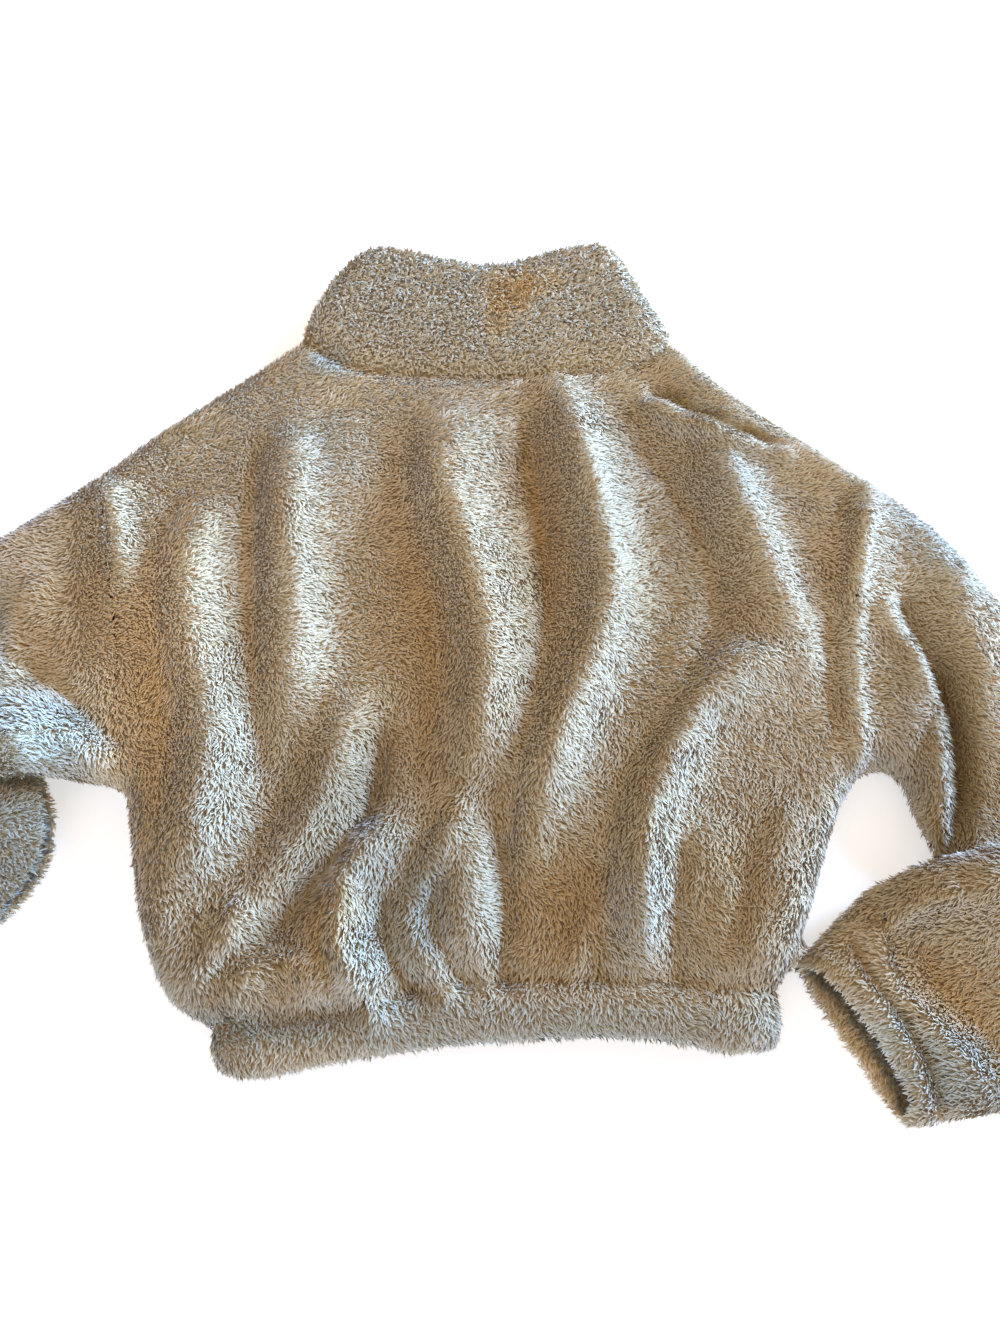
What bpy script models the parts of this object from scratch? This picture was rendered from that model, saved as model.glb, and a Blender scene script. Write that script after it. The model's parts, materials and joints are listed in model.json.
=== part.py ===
"""Cropped teddy jacket lying face down on a flat surface, both sleeves folded at the elbow.

Every piece is a wall of pile cloth, backing and pile together. The jacket lies along X with its
collar towards +Y. Plan sizes are millimetres from the middle of the back, heights from the surface.
"""

import math

import bmesh
import bpy
import numpy as np

MM = 0.001

# The cloth and the seams
WALL = 8.0  # 1.5 of knitted backing and 6.5 of pile
SEAM_GAP = 0.3
CREASE_GAP = 1.5  # half the gap between the layers of a folded sleeve

# The lying body: the fronts are a flat layer, the back arches over them
EDGE_LEVEL = 8.0  # height of the side seams
EDGE_ROUND = 24.0  # how far in from an edge the back reaches its full height
UNDER_ROUND = 6.0  # rounding of the fronts' lower edge
CENTRE_FRONT = -6.0
HALF_OPENING = 1.5  # from the centre front line to each front's free edge
CUFF_ROUND = 17.0
LEAST_HOLLOW = 0.3  # keeps the two walls apart next to an edge

# Steps across a wall, finer where it turns over an edge
EDGE_STEPS = (0.0, 0.005, 0.017, 0.036, 0.06)
BACK_COLUMNS = 40
UNDER_STEPS = (0.0, 0.02, 0.06, 0.2, 0.5, 1.0)
ARMHOLE_STEPS = (0, 0.014, 0.045, 0.1, 0.17, 0.26, 0.36, 0.46, 0.56, 0.66, 0.75, 0.84, 0.91, 0.96, 0.988, 1)
SIDE_STEPS = (0, 0.06, 0.16, 0.27, 0.38, 0.49, 0.6, 0.71, 0.82, 0.92, 1)
SHOULDER_STEPS = (0, 0.12, 0.26, 0.4, 0.54, 0.68, 0.81, 0.92, 1)
COLLAR_STEPS = (0, 0.07, 0.2, 0.38, 0.57, 0.76, 0.92, 1)
HEM_STEPS = (0, 0.2, 0.55, 0.85, 1)

# Outlines in plan, x then y. Each runs from the hem towards the collar.
LEFT_SIDE = ((-181, -242), (-192, -240), (-209, -228), (-222, -204), (-232, -179), (-239, -150), (-245, -122), (-251, -95))
RIGHT_SIDE = ((175, -221), (181, -213), (190, -198), (198, -178), (210, -149), (221, -119), (231, -100), (243, -84))
LEFT_ARMHOLE = ((-251, -95), (-257, -50), (-262, -7), (-269, 38), (-280, 90), (-296, 146))
RIGHT_ARMHOLE = ((243, -84), (237, -52), (236, -8), (245, 38), (259, 85), (281, 134))
LEFT_SHOULDER = ((-296, 146), (-262, 179), (-219, 214), (-178, 248), (-157, 268))
RIGHT_SHOULDER = ((281, 134), (247, 162), (203, 197), (165, 233), (137, 266))
LEFT_COLLAR = ((-157, 268), (-152, 290), (-144, 310), (-134, 330), (-121, 350))
RIGHT_COLLAR = ((137, 266), (128, 289), (118, 308), (109, 329), (98, 353))
LEFT_HEM = ((-181, -242), (-180, -252), (-179, -262), (-173, -271))
RIGHT_HEM = ((175, -221), (176, -234), (176, -246), (172, -257))

# Seams and free edges that run across, as y at each x
NECK_SEAM = ((-157, 268), (-141, 250), (-118, 236), (-77, 228), (0, 225), (69, 229), (102, 237), (122, 249), (137, 266))
HEM_SEAM = ((-181, -242), (-150, -240), (-105, -235), (-61, -223), (-20, -217), (60, -215), (120, -217), (175, -221))
COLLAR_TOP = ((-121, 350), (-98, 356), (-65, 349), (-33, 340), (-8, 337), (16, 342), (49, 353), (80, 359), (98, 353))
HEM_EDGE = ((-173, -271), (-150, -274), (-93, -263), (-31, -255), (50, -250), (100, -252), (140, -259), (172, -257))

# Full height of the back above the surface, at each y
BACK_HEIGHT = ((-280, 28), (-240, 30), (-205, 34), (-120, 37), (40, 37), (170, 35), (228, 31), (290, 33), (360, 30))
MOUTH_HEIGHT = 21.5  # of the cloth at the hem's edge and at the collar's top
MOUTH_ROUND = 16.0

# Folds of the back and the upper sleeves. crest is the fold's line in plan, height its rise (a
# crease is below zero), left and right the reach of its two flanks seen along the line.
FOLD_COLUMNS = ("crest", "height", "left", "right")
FOLD_RUN_OUT = 0.24  # share of a fold's length over which each end dies away
BODY_FOLDS = (
    (((-290, 132), (-276, 80), (-270, 10)), 8, 24, 28),
    (((-210, 118), (-218, 60), (-207, 0), (-190, -60), (-190, -125), (-208, -172)), 17, 34, 40),
    (((-154, 184), (-149, 80), (-141, 0), (-144, -66)), 17, 28, 40),
    (((-97, -24), (-107, -84), (-127, -135), (-156, -178), (-190, -206)), 15, 30, 28),
    (((-80, -50), (-93, -104), (-116, -154), (-160, -200)), -8, 22, 26),
    (((-46, 204), (-37, 104), (-20, 50), (-10, 0), (-14, -60), (-27, -112)), 19, 54, 34),
    (((-30, -118), (-24, -160), (-20, -206)), 11, 24, 26),
    (((-62, -120), (-92, -150), (-103, -186), (-92, -216), (-94, -240)), 16, 24, 28),
    (((42, 222), (55, 154), (65, 104), (72, 50), (67, 8), (50, -36), (32, -82), (18, -140)), 20, 34, 30),
    (((108, 204), (134, 184), (164, 172), (196, 158)), 10, 26, 22),
    (((100, 232), (140, 206), (188, 182), (224, 160)), -5, 20, 24),
    (((150, 168), (160, 126), (172, 72), (186, 26), (204, -4)), 14, 32, 26),
    (((200, -18), (160, -20), (126, -42), (105, -80), (88, -125), (80, -198)), 17, 30, 40),
    (((260, 116), (248, 70), (236, 14)), 10, 26, 22),
    (((128, -112), (130, -150), (118, -192)), 6, 26, 28),
    (((190, -146), (170, -184), (150, -212)), 9, 24, 24),
    (((-168, -214), (-130, -208), (-100, -222)), 6, 22, 22),
)
RIGHT_SLEEVE_FOLDS = (
    (((266, 80), (276, 10), (282, -50), (286, -110)), 7, 22, 18),
    (((282, 62), (296, 0), (302, -60), (300, -120)), -8, 16, 20),
    (((300, 96), (322, 30), (330, -40), (322, -110)), 6, 24, 26),
)
LEFT_SLEEVE_FOLDS = (
    (((-268, -66), (-312, -76), (-350, -78)), 8, 24, 26),
    (((-274, -36), (-318, -22), (-352, 18), (-366, 60)), -8, 20, 24),
    (((-300, 70), (-330, 20), (-372, -30)), 5, 28, 28),
)
RIGHT_FOREARM_FOLDS = (
    (((240, -176), (232, -210), (250, -246), (292, -276)), 7, 18, 18),
    (((236, -188), (262, -168), (310, -160), (360, -150)), 6, 20, 24),
    (((276, -196), (300, -222), (340, -240)), -5, 26, 26),
)
LEFT_FOREARM_FOLDS = ((((-318, -112), (-360, -118), (-420, -120)), 5, 22, 22),)

# Sleeve sections. inner is the end of the section at the underarm seam, outer the end at the
# shoulder fold, both in plan; thick is the sleeve's full thickness there.
SECTION_COLUMNS = ("inner", "outer", "thick")
RIGHT_UPPER_ARM = (
    ((258, -81), (299, 117), 35),
    ((270, -89), (313, 103), 34),
    ((275, -112), (331, 80), 33),
    ((288, -146), (349, 52), 31),
    ((317, -177), (376, 14), 28),
    ((350, -209), (404, -24), 27),
    ((382, -241), (431, -56), 27),
    ((407, -266), (453, -84), 27),
)
RIGHT_FOREARM = (
    ((380, -275), (420, -97), 27),
    ((346, -285), (378, -113), 28),
    ((314, -292), (336, -129), 30),
    ((292, -295), (298, -138), 30),
    ((277, -297), (263, -146), 29),
    ((267, -299), (236, -160), 27),
    ((258, -301), (216, -178), 27),
    ((246, -303), (187, -206), 25),
)
LEFT_UPPER_ARM = (
    ((-276, -92), (-318, 127), 35),
    ((-304, -93), (-343, 107), 33),
    ((-340, -96), (-372, 86), 31),
    ((-380, -108), (-408, 64), 28),
    ((-422, -131), (-446, 39), 27),
    ((-465, -157), (-488, 12), 27),
    ((-507, -182), (-529, -14), 27),
)
LEFT_FOREARM = (
    ((-468, -184), (-484, -25), 27),
    ((-430, -187), (-436, -38), 27),
    ((-394, -188), (-392, -49), 26),
    ((-366, -188), (-356, -59), 25),
    ((-350, -187), (-332, -66), 25),
    ((-322, -183), (-308, -86), 23),
)
CUFF_SECTIONS = 2  # the last sections of each forearm belong to its cuff
RIGHT_CUFF_SLANT = 13.0  # how far the cuff's upper edge lies back from its lower edge
LEFT_CUFF_BOW = 17.0  # how far the middle of the left cuff's edge reaches past its corners
UNDERARM_TURN = 50.0  # length over which a sleeve leaves the body's section
DRAPE = 62.0  # run of the slope where a sleeve comes down from the layer under it

COLOURS = {
    "teddy_fleece": ((0.47, 0.38, 0.27), 0.95, 0.0),
}


def clear_scene():
    for old in list(bpy.data.objects):
        bpy.data.objects.remove(old)


def material(name):
    made = bpy.data.materials.get(name)
    if made is None:
        colour, roughness, metallic = COLOURS[name]
        made = bpy.data.materials.new(name)
        made.use_nodes = True
        shader = made.node_tree.nodes["Principled BSDF"]
        shader.inputs["Base Color"].default_value = (*colour, 1.0)
        shader.inputs["Roughness"].default_value = roughness
        shader.inputs["Metallic"].default_value = metallic
    return made


def smoothstep(value):
    t = np.clip(value, 0.0, 1.0)
    return t * t * (3.0 - 2.0 * t)


def swell(distance, reach):
    """Share of its full height that a wall has at a distance in from the edge it turns over."""
    t = np.clip(distance / max(reach, 1e-6), 0.0, 1.0)
    return math.sqrt(1.0 - (1.0 - t) ** 2)


def smooth_curve(points, steps):
    """Points of a smooth curve through the given ones, at each share of its length."""
    p = np.array(points, float)
    p = np.vstack([2 * p[0] - p[1], p, 2 * p[-1] - p[-2]])
    fine = []
    for a, b, c, d in zip(p, p[1:], p[2:], p[3:]):
        for t in np.linspace(0, 1, 16, endpoint=False):
            fine.append(0.5 * (2 * b + (c - a) * t + (2 * a - 5 * b + 4 * c - d) * t**2 + (3 * b - a - 3 * c + d) * t**3))
    fine = np.array(fine + [p[-2]])
    along = np.concatenate([[0], np.cumsum(np.linalg.norm(np.diff(fine, axis=0), axis=1))])
    at = np.array(steps) * along[-1]
    return np.column_stack([np.interp(at, along, fine[:, k]) for k in range(2)])


def profile(rows, at):
    """A smooth value read from rows of (place, value)."""
    places = [r[0] for r in rows]
    i = int(np.clip(np.searchsorted(places, at) - 1, 0, len(rows) - 2))
    (a, low), (b, high) = rows[i], rows[i + 1]
    return low + (high - low) * smoothstep((at - a) / (b - a))


def unit(vector):
    return np.array(vector, float) / np.linalg.norm(vector)


def across_curve(points):
    """A seam that runs across, as a function that gives y at x."""
    fine = smooth_curve(points, np.linspace(0, 1, 160))
    return lambda x: float(np.interp(x, fine[:, 0], fine[:, 1]))


class Outline:
    """The closed edges of one flat layer, where its two walls turn into each other."""

    def __init__(self, *edges):
        runs = [smooth_curve(edge, np.linspace(0, 1, 60)) for edge in edges]
        self.start = np.vstack([run[:-1] for run in runs])
        self.step = np.vstack([np.diff(run, axis=0) for run in runs])

    def distance(self, point):
        offset = np.array(point) - self.start
        t = np.clip((offset * self.step).sum(1) / (self.step**2).sum(1), 0, 1)
        return float(np.linalg.norm(offset - t[:, None] * self.step, axis=1).min())


class Folds:
    """The rise of a set of folds and creases at a point in plan."""

    def __init__(self, rows):
        self.rows = []
        for row in rows:
            fold = dict(zip(FOLD_COLUMNS, row))
            line = smooth_curve(fold["crest"], np.linspace(0, 1, 24))
            self.rows.append((line[:-1], np.diff(line, axis=0), fold))

    def rise(self, point):
        total = 0.0
        for start, step, fold in self.rows:
            offset = np.array(point) - start
            t = np.clip((offset * step).sum(1) / (step**2).sum(1), 0, 1)
            away = offset - t[:, None] * step
            far = np.linalg.norm(away, axis=1)
            i = int(far.argmin())
            if far[i] > 1.6 * max(fold["left"], fold["right"]):
                continue
            side = (step[i][0] * away[i][1] - step[i][1] * away[i][0]) / np.linalg.norm(step[i])
            to_left = 0.5 + 0.5 * side / max(far[i], 1e-6)
            reach = fold["right"] + (fold["left"] - fold["right"]) * to_left
            share = (i + t[i]) / len(start)
            fade = smoothstep(0.2 + share / FOLD_RUN_OUT) * smoothstep(0.2 + (1 - share) / FOLD_RUN_OUT)
            total += fold["height"] * fade * math.exp(-2.2 * (far[i] / reach) ** 2)
        return total


def sleeve_edge(sections, end):
    column = SECTION_COLUMNS.index(end)
    return tuple(section[column] for section in sections)


BODY_OUTLINE = Outline(
    LEFT_SIDE,
    (LEFT_SIDE[-1],) + sleeve_edge(LEFT_UPPER_ARM, "inner"),
    LEFT_SHOULDER,
    (LEFT_SHOULDER[0],) + sleeve_edge(LEFT_UPPER_ARM, "outer"),
    LEFT_COLLAR,
    LEFT_HEM,
    RIGHT_SIDE,
    (RIGHT_SIDE[-1],) + sleeve_edge(RIGHT_UPPER_ARM, "inner"),
    RIGHT_SHOULDER,
    (RIGHT_SHOULDER[0],) + sleeve_edge(RIGHT_UPPER_ARM, "outer"),
    RIGHT_COLLAR,
    RIGHT_HEM,
)
BODY_RELIEF = Folds(BODY_FOLDS)
NECK_SEAM_AT = across_curve(NECK_SEAM)
HEM_SEAM_AT = across_curve(HEM_SEAM)
COLLAR_TOP_AT = across_curve(COLLAR_TOP)
HEM_EDGE_AT = across_curve(HEM_EDGE)


def back_height(point):
    """Full height of the back's outer face, folds and seam grooves included."""
    x, y = point
    height = profile(BACK_HEIGHT, y) + BODY_RELIEF.rise(point)
    for seam, depth in ((NECK_SEAM_AT, 5.0), (HEM_SEAM_AT, 5.0)):
        height -= depth * math.exp(-(((y - seam(x)) / 9.0) ** 2))
    to_mouth = max(min(y - HEM_EDGE_AT(x), COLLAR_TOP_AT(x) - y), 0.0)
    return MOUTH_HEIGHT + (max(height, 24.0) - MOUTH_HEIGHT) * swell(to_mouth, MOUTH_ROUND)


def upper_face(point, inner):
    """Height of the body's upper wall, on its outer or its inner face."""
    wall = WALL if inner else 0.0
    reach = swell(max(BODY_OUTLINE.distance(point) - wall, LEAST_HOLLOW if inner else 0.0), EDGE_ROUND - wall)
    return EDGE_LEVEL + (back_height(point) - wall - EDGE_LEVEL) * reach


def lower_face(point, inner):
    """Height of the body's lower wall, which lies flat."""
    if inner:
        return EDGE_LEVEL
    return EDGE_LEVEL * (1.0 - swell(BODY_OUTLINE.distance(point), UNDER_ROUND))


def add_object(name, points, faces, slot):
    mesh = bpy.data.meshes.new(name)
    mesh.from_pydata([tuple(float(c) * MM for c in p) for p in points], [], faces)
    work = bmesh.new()
    work.from_mesh(mesh)
    bmesh.ops.recalc_face_normals(work, faces=work.faces)
    work.to_mesh(mesh)
    work.free()
    mesh.materials.append(material(slot))
    mesh.shade_smooth()
    mesh.set_sharp_from_angle(angle=math.radians(50))
    made = bpy.data.objects.new(name, mesh)
    bpy.context.scene.collection.objects.link(made)
    return made


def quads(first, second):
    """Faces between two rows of point numbers."""
    return [(a, b, d, c) for a, b, c, d in zip(first, first[1:], second, second[1:])]


def split(faces, points):
    """Each quad as two triangles along its shorter diagonal, so that facing rims match."""
    made = []
    for a, b, c, d in faces:
        across = math.dist(points[a], points[c]) - math.dist(points[b], points[d])
        made += [(a, b, c), (a, c, d)] if across < 0 else [(a, b, d), (b, c, d)]
    return made


def wall_solid(name, outer, inner, closed=False, slot="teddy_fleece"):
    """A solid wall between two grids of points. closed joins each row's end to its start."""
    rows, columns = len(outer), len(outer[0])
    points = [p for row in outer for p in row] + [p for row in inner for p in row]
    number = lambda layer, r: [(layer * rows + r) * columns + c for c in range(columns)]
    grids = []
    for layer in (0, 1):
        grid = [number(layer, r) for r in range(rows)]
        grids.append([row + row[:1] for row in grid] if closed else grid)
    faces = []
    for grid in grids:
        for low, high in zip(grid, grid[1:]):
            faces += quads(low, high)
    rims = []
    for r in (0, rows - 1):
        rims += quads(grids[0][r], grids[1][r])
    if not closed:
        for c in (0, columns - 1):
            rims += quads([row[c] for row in grids[0]], [row[c] for row in grids[1]])
    return add_object(name, points, faces + split(rims, points), slot)


def inset(edge, first, last):
    """An edge moved in by the wall's thickness. Its ends go to the given points on their seams."""
    edge = np.array(edge)
    along = np.gradient(edge, axis=0)
    normal = np.column_stack([-along[:, 1], along[:, 0]])
    normal /= np.linalg.norm(normal, axis=1)[:, None]
    if normal[0] @ (first - edge[0]) + normal[-1] @ (last - edge[-1]) < 0:
        normal = -normal
    moved = edge + normal * WALL
    moved[0], moved[-1] = first, last
    return moved


def along_seam(seam, x, sign):
    """The point of a seam that is the wall's thickness further in than its end."""
    slope = (seam(x + sign * WALL) - seam(x)) / WALL
    inner = x + sign * WALL / math.hypot(1.0, slope)
    return np.array((inner, seam(inner)))


def body_edges(side, inner):
    """The body's left or right edge from hem to collar: side seam, armhole, shoulder."""
    parts = {
        "left": (LEFT_SIDE, LEFT_ARMHOLE, LEFT_SHOULDER, 1.0),
        "right": (RIGHT_SIDE, RIGHT_ARMHOLE, RIGHT_SHOULDER, -1.0),
    }
    flank, armhole, shoulder, inward = parts[side]
    flank = smooth_curve(flank, SIDE_STEPS)
    armhole = smooth_curve(armhole, ARMHOLE_STEPS)
    shoulder = smooth_curve(shoulder, SHOULDER_STEPS)
    if inner:
        armhole = trimmed(armhole, WALL)
        flank = inset(flank, along_seam(HEM_SEAM_AT, flank[0][0], inward), armhole[0])
        shoulder = inset(shoulder, armhole[-1], along_seam(NECK_SEAM_AT, shoulder[-1][0], inward))
    return np.vstack([flank, armhole[1:-1], shoulder])


def trimmed(line, cut):
    """The line again, with the same steps, from one wall's thickness past each end."""
    along = np.concatenate([[0], np.cumsum(np.linalg.norm(np.diff(line, axis=0), axis=1))])
    at = cut + along / along[-1] * (along[-1] - 2 * cut)
    return np.column_stack([np.interp(at, along, line[:, k]) for k in range(2)])


def back_steps():
    """Shares across the back, finer towards both edges."""
    middle = np.linspace(EDGE_STEPS[-1], 1 - EDGE_STEPS[-1], BACK_COLUMNS + 1)[1:-1]
    return list(EDGE_STEPS) + list(middle) + [1 - s for s in reversed(EDGE_STEPS)]


def patch(left, right, bottom, top, steps):
    """A grid of plan points between two side edges and two seams that run across."""
    left, right = np.array(left), np.array(right)
    long = [np.concatenate([[0], np.cumsum(np.linalg.norm(np.diff(e, axis=0), axis=1))]) for e in (left, right)]
    shares = (long[0] / long[0][-1] + long[1] / long[1][-1]) / 2
    grid = []
    for v, a, b in zip(shares, left, right):
        row = []
        for u in steps:
            low_x = left[0][0] + u * (right[0][0] - left[0][0])
            high_x = left[-1][0] + u * (right[-1][0] - left[-1][0])
            low, high = np.array((low_x, bottom(low_x))), np.array((high_x, top(high_x)))
            corners = (1 - v) * ((1 - u) * left[0] + u * right[0]) + v * ((1 - u) * left[-1] + u * right[-1])
            row.append((1 - v) * low + v * high + (1 - u) * a + u * b - corners)
        grid.append(row)
    return grid


def raised(grid, face, inner, lift=0.0):
    return [[(p[0], p[1], face(p, inner) + lift) for p in row] for row in grid]


def centre_line(bottom, top, x, count_like):
    """Points up the edge of the front opening, spaced like the garment's edge beside it."""
    edge = np.array(count_like)
    along = np.concatenate([[0], np.cumsum(np.linalg.norm(np.diff(edge, axis=0), axis=1))])
    share = along / along[-1]
    return np.column_stack([np.full(len(edge), x), bottom(x) + share * (top(x) - bottom(x))])


def build_back():
    grids = []
    for inner in (False, True):
        plan = patch(body_edges("left", inner), body_edges("right", inner), HEM_SEAM_AT, NECK_SEAM_AT, back_steps())
        grids.append(raised(plan, upper_face, inner, lift=SEAM_GAP))
    wall_solid("back_panel", *grids)


def build_front(side):
    """One flat front, from its side edge to the centre front opening."""
    inward = 1.0 if side == "left" else -1.0
    opening = CENTRE_FRONT - inward * HALF_OPENING
    grids = []
    for inner in (False, True):
        edge = body_edges(side, inner)
        centre = centre_line(HEM_SEAM_AT, NECK_SEAM_AT, opening, edge)
        plan = patch(edge, centre, HEM_SEAM_AT, NECK_SEAM_AT, UNDER_STEPS)
        grids.append(raised(plan, lower_face, inner))
    wall_solid("front_" + side, *grids)


def band_grid(left, right, low_seam, high_seam, shares, inner):
    """Rows of a band that runs from the front opening round the back to the opening again."""
    rows = []
    for v, a, b in zip(shares, left, right):
        line = lambda x: (1 - v) * low_seam(x) + v * high_seam(x)
        ends = (a[1] - line(a[0]), b[1] - line(b[0]))
        level = lambda x: line(x) + ends[0] * (b[0] - x) / (b[0] - a[0]) + ends[1] * (x - a[0]) / (b[0] - a[0])
        row = []
        near = CENTRE_FRONT - HALF_OPENING
        far = CENTRE_FRONT + HALF_OPENING
        for u in reversed(UNDER_STEPS):
            row.append((a[0] + u * (near - a[0]), "low"))
        for u in back_steps()[1:-1]:
            row.append((a[0] + u * (b[0] - a[0]), "up"))
        for u in UNDER_STEPS:
            row.append((b[0] + u * (far - b[0]), "low"))
        points = []
        for x, face in row:
            spot = (x, level(x))
            height = upper_face(spot, inner) if face == "up" else lower_face(spot, inner)
            if x in (a[0], b[0]):
                height = EDGE_LEVEL
            points.append((x, spot[1], height))
        rows.append(points)
    return rows


def moved_apart(rows, gap, last=False):
    """Rows of a piece with its first (or last) row drawn back from the seam by the gap."""
    rows = [[np.array(p, float) for p in row] for row in rows]
    row, beside = (rows[-1], rows[-2]) if last else (rows[0], rows[1])
    for i, (p, q) in enumerate(zip(row, beside)):
        away = (q - p) * (1, 1, 0)
        row[i] = p + away / np.linalg.norm(away) * gap
    return rows


def band_edges(edge, inward, low_seam, high_seam, steps, inner):
    points = smooth_curve(edge, steps)
    if inner:
        first = along_seam(low_seam, points[0][0], inward)
        last = along_seam(high_seam, points[-1][0], inward)
        points = inset(points, first, last)
    return points


def build_collar():
    grids = []
    for inner in (False, True):
        left = band_edges(LEFT_COLLAR, 1.0, NECK_SEAM_AT, COLLAR_TOP_AT, COLLAR_STEPS, inner)
        right = band_edges(RIGHT_COLLAR, -1.0, NECK_SEAM_AT, COLLAR_TOP_AT, COLLAR_STEPS, inner)
        rows = band_grid(left, right, NECK_SEAM_AT, COLLAR_TOP_AT, COLLAR_STEPS, inner)
        grids.append(moved_apart(rows, SEAM_GAP))
    wall_solid("collar", *grids)


def build_hem_band():
    grids = []
    for inner in (False, True):
        left = band_edges(LEFT_HEM, 1.0, HEM_SEAM_AT, HEM_EDGE_AT, HEM_STEPS, inner)
        right = band_edges(RIGHT_HEM, -1.0, HEM_SEAM_AT, HEM_EDGE_AT, HEM_STEPS, inner)
        rows = band_grid(left, right, HEM_SEAM_AT, HEM_EDGE_AT, HEM_STEPS, inner)
        grids.append(moved_apart(rows, SEAM_GAP))
    wall_solid("hem_band", *grids)


class Sleeve:
    """A sleeve as closed rings of points: along the upper arm, round the elbow fold, down the forearm."""

    def __init__(self, side):
        right = side == "right"
        self.side = side
        self.over = right  # the right forearm lies on its upper arm, the left one under it
        self.armhole = smooth_curve(RIGHT_ARMHOLE if right else LEFT_ARMHOLE, ARMHOLE_STEPS)
        self.upper = RIGHT_UPPER_ARM if right else LEFT_UPPER_ARM
        self.fore = RIGHT_FOREARM if right else LEFT_FOREARM
        self.upper_relief = Folds(RIGHT_SLEEVE_FOLDS if right else LEFT_SLEEVE_FOLDS)
        self.fore_relief = Folds(RIGHT_FOREARM_FOLDS if right else LEFT_FOREARM_FOLDS)
        self.elbow = np.array(self.upper[-1][:2], float)
        elbow = self.upper[-1:]
        self.fore_outline = Outline(
            sleeve_edge(elbow + self.fore, "inner"), sleeve_edge(elbow + self.fore, "outer")
        )
        self.thick = self.upper[-1][2]
        self.lift = self.thick + 2 * CREASE_GAP
        under = self.upper[2:] if right else self.fore[::-1] + elbow
        self.under_edge = smooth_curve(sleeve_edge(under, "inner" if right else "outer"), np.linspace(0, 1, 60))

    def lifted(self, point):
        """Height of the layer that lies on the other one: full over it, and down to 0 past its edge."""
        beside = self.under_edge - np.array(point)
        i = int(np.linalg.norm(beside, axis=1).argmin())
        a, b = self.under_edge[max(i - 1, 0)], self.under_edge[min(i + 1, len(self.under_edge) - 1)]
        cross = (b[0] - a[0]) * (point[1] - a[1]) - (b[1] - a[1]) * (point[0] - a[0])
        away = float(np.linalg.norm(beside[i])) if cross < 0 else 0.0
        from_elbow = abs(np.cross(unit(self.elbow[1] - self.elbow[0]), np.array(point) - self.elbow[0]))
        return self.lift * (1 - smoothstep(away / DRAPE) * smoothstep((from_elbow - 20.0) / 60.0))

    def ring(self, ends, bow, inner, height):
        """Closed loop of a section: up side from inner to outer end, then the low side back."""
        start, end = (np.array(e, float) for e in ends)
        if inner:
            step = unit(end - start) * WALL * 1.08
            start, end = start + step, end - step
        line = [start + s * (end - start) + bow(s) for s in ARMHOLE_STEPS]
        last = len(line) - 1
        up = [height(p, "edge" if i in (0, last) else "up", inner) for i, p in enumerate(line)]
        low = [height(p, "low", inner) for p in line[last - 1 : 0 : -1]]
        return up + low

    def armhole_bow(self, share):
        """How far the armhole curves away from its own straight line, as a function of the share."""
        start, end = self.armhole[0], self.armhole[-1]
        return lambda s: share * (
            np.array([np.interp(s, ARMHOLE_STEPS, self.armhole[:, k]) for k in range(2)]) - (start + s * (end - start))
        )

    def upper_height(self, station, thick):
        """Height function of an upper arm section at a distance down the sleeve."""
        turn = smoothstep(station / UNDERARM_TURN)
        seam = EDGE_LEVEL + (thick / 2 - EDGE_LEVEL) * turn
        under = UNDER_ROUND + (CUFF_ROUND - UNDER_ROUND) * turn
        edge = EDGE_ROUND + (CUFF_ROUND + 3 - EDGE_ROUND) * turn

        def height(p, face, inner):
            wall = WALL if inner else 0.0
            base = 0.0 if self.over else self.lifted(p) * smoothstep((station - 4) / 34.0)
            if face == "edge":
                return (*p, base + seam)
            away = max(BODY_OUTLINE.distance(p) - wall, LEAST_HOLLOW if inner else 0.0)
            if face == "low":
                return (*p, base + seam - (seam - wall) * swell(away, max(under - wall, 3.0)))
            settled = smoothstep((station - 120) / 60.0)
            top = thick + self.upper_relief.rise(p) * smoothstep(station / 30.0) * (1 - settled)
            top += (back_height(p) - top) * (1 - turn)
            return (*p, base + seam + (max(top, 24.0) - wall - seam) * swell(away, edge - wall))

        return height

    def fore_height(self, thick, share):
        """Height function of a forearm section. Past the fold its first side faces down."""
        seam = thick / 2

        def height(p, face, inner):
            wall = WALL if inner else 0.0
            base = self.lifted(p) if self.over else 0.0
            if face == "edge":
                return (*p, base + seam)
            away = max(self.fore_outline.distance(p) - wall, LEAST_HOLLOW if inner else 0.0)
            if face == "up":
                return (*p, base + seam - (seam - wall) * swell(away, CUFF_ROUND - wall))
            top = thick + self.fore_relief.rise(p) * smoothstep(share / 0.3)
            return (*p, base + seam + (top - wall - seam) * swell(away, CUFF_ROUND + 3 - wall))

        return height

    def turned(self, ring, angle):
        """A ring on the elbow line, turned over it by an angle."""
        inner_end, outer_end = (np.array(e, float) for e in self.upper[-1][:2])
        along = unit(outer_end - inner_end)
        out = np.array((along[1], -along[0])) if self.side == "right" else np.array((-along[1], along[0]))
        axis = self.thick + CREASE_GAP if self.over else self.lift - CREASE_GAP
        made = []
        for x, y, z in ring:
            radius = abs(axis - z)
            shift = out * radius * math.sin(angle)
            drop = radius * math.cos(angle) * (1 if self.over else -1)
            made.append((x + shift[0], y + shift[1], axis - drop))
        return made

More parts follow.
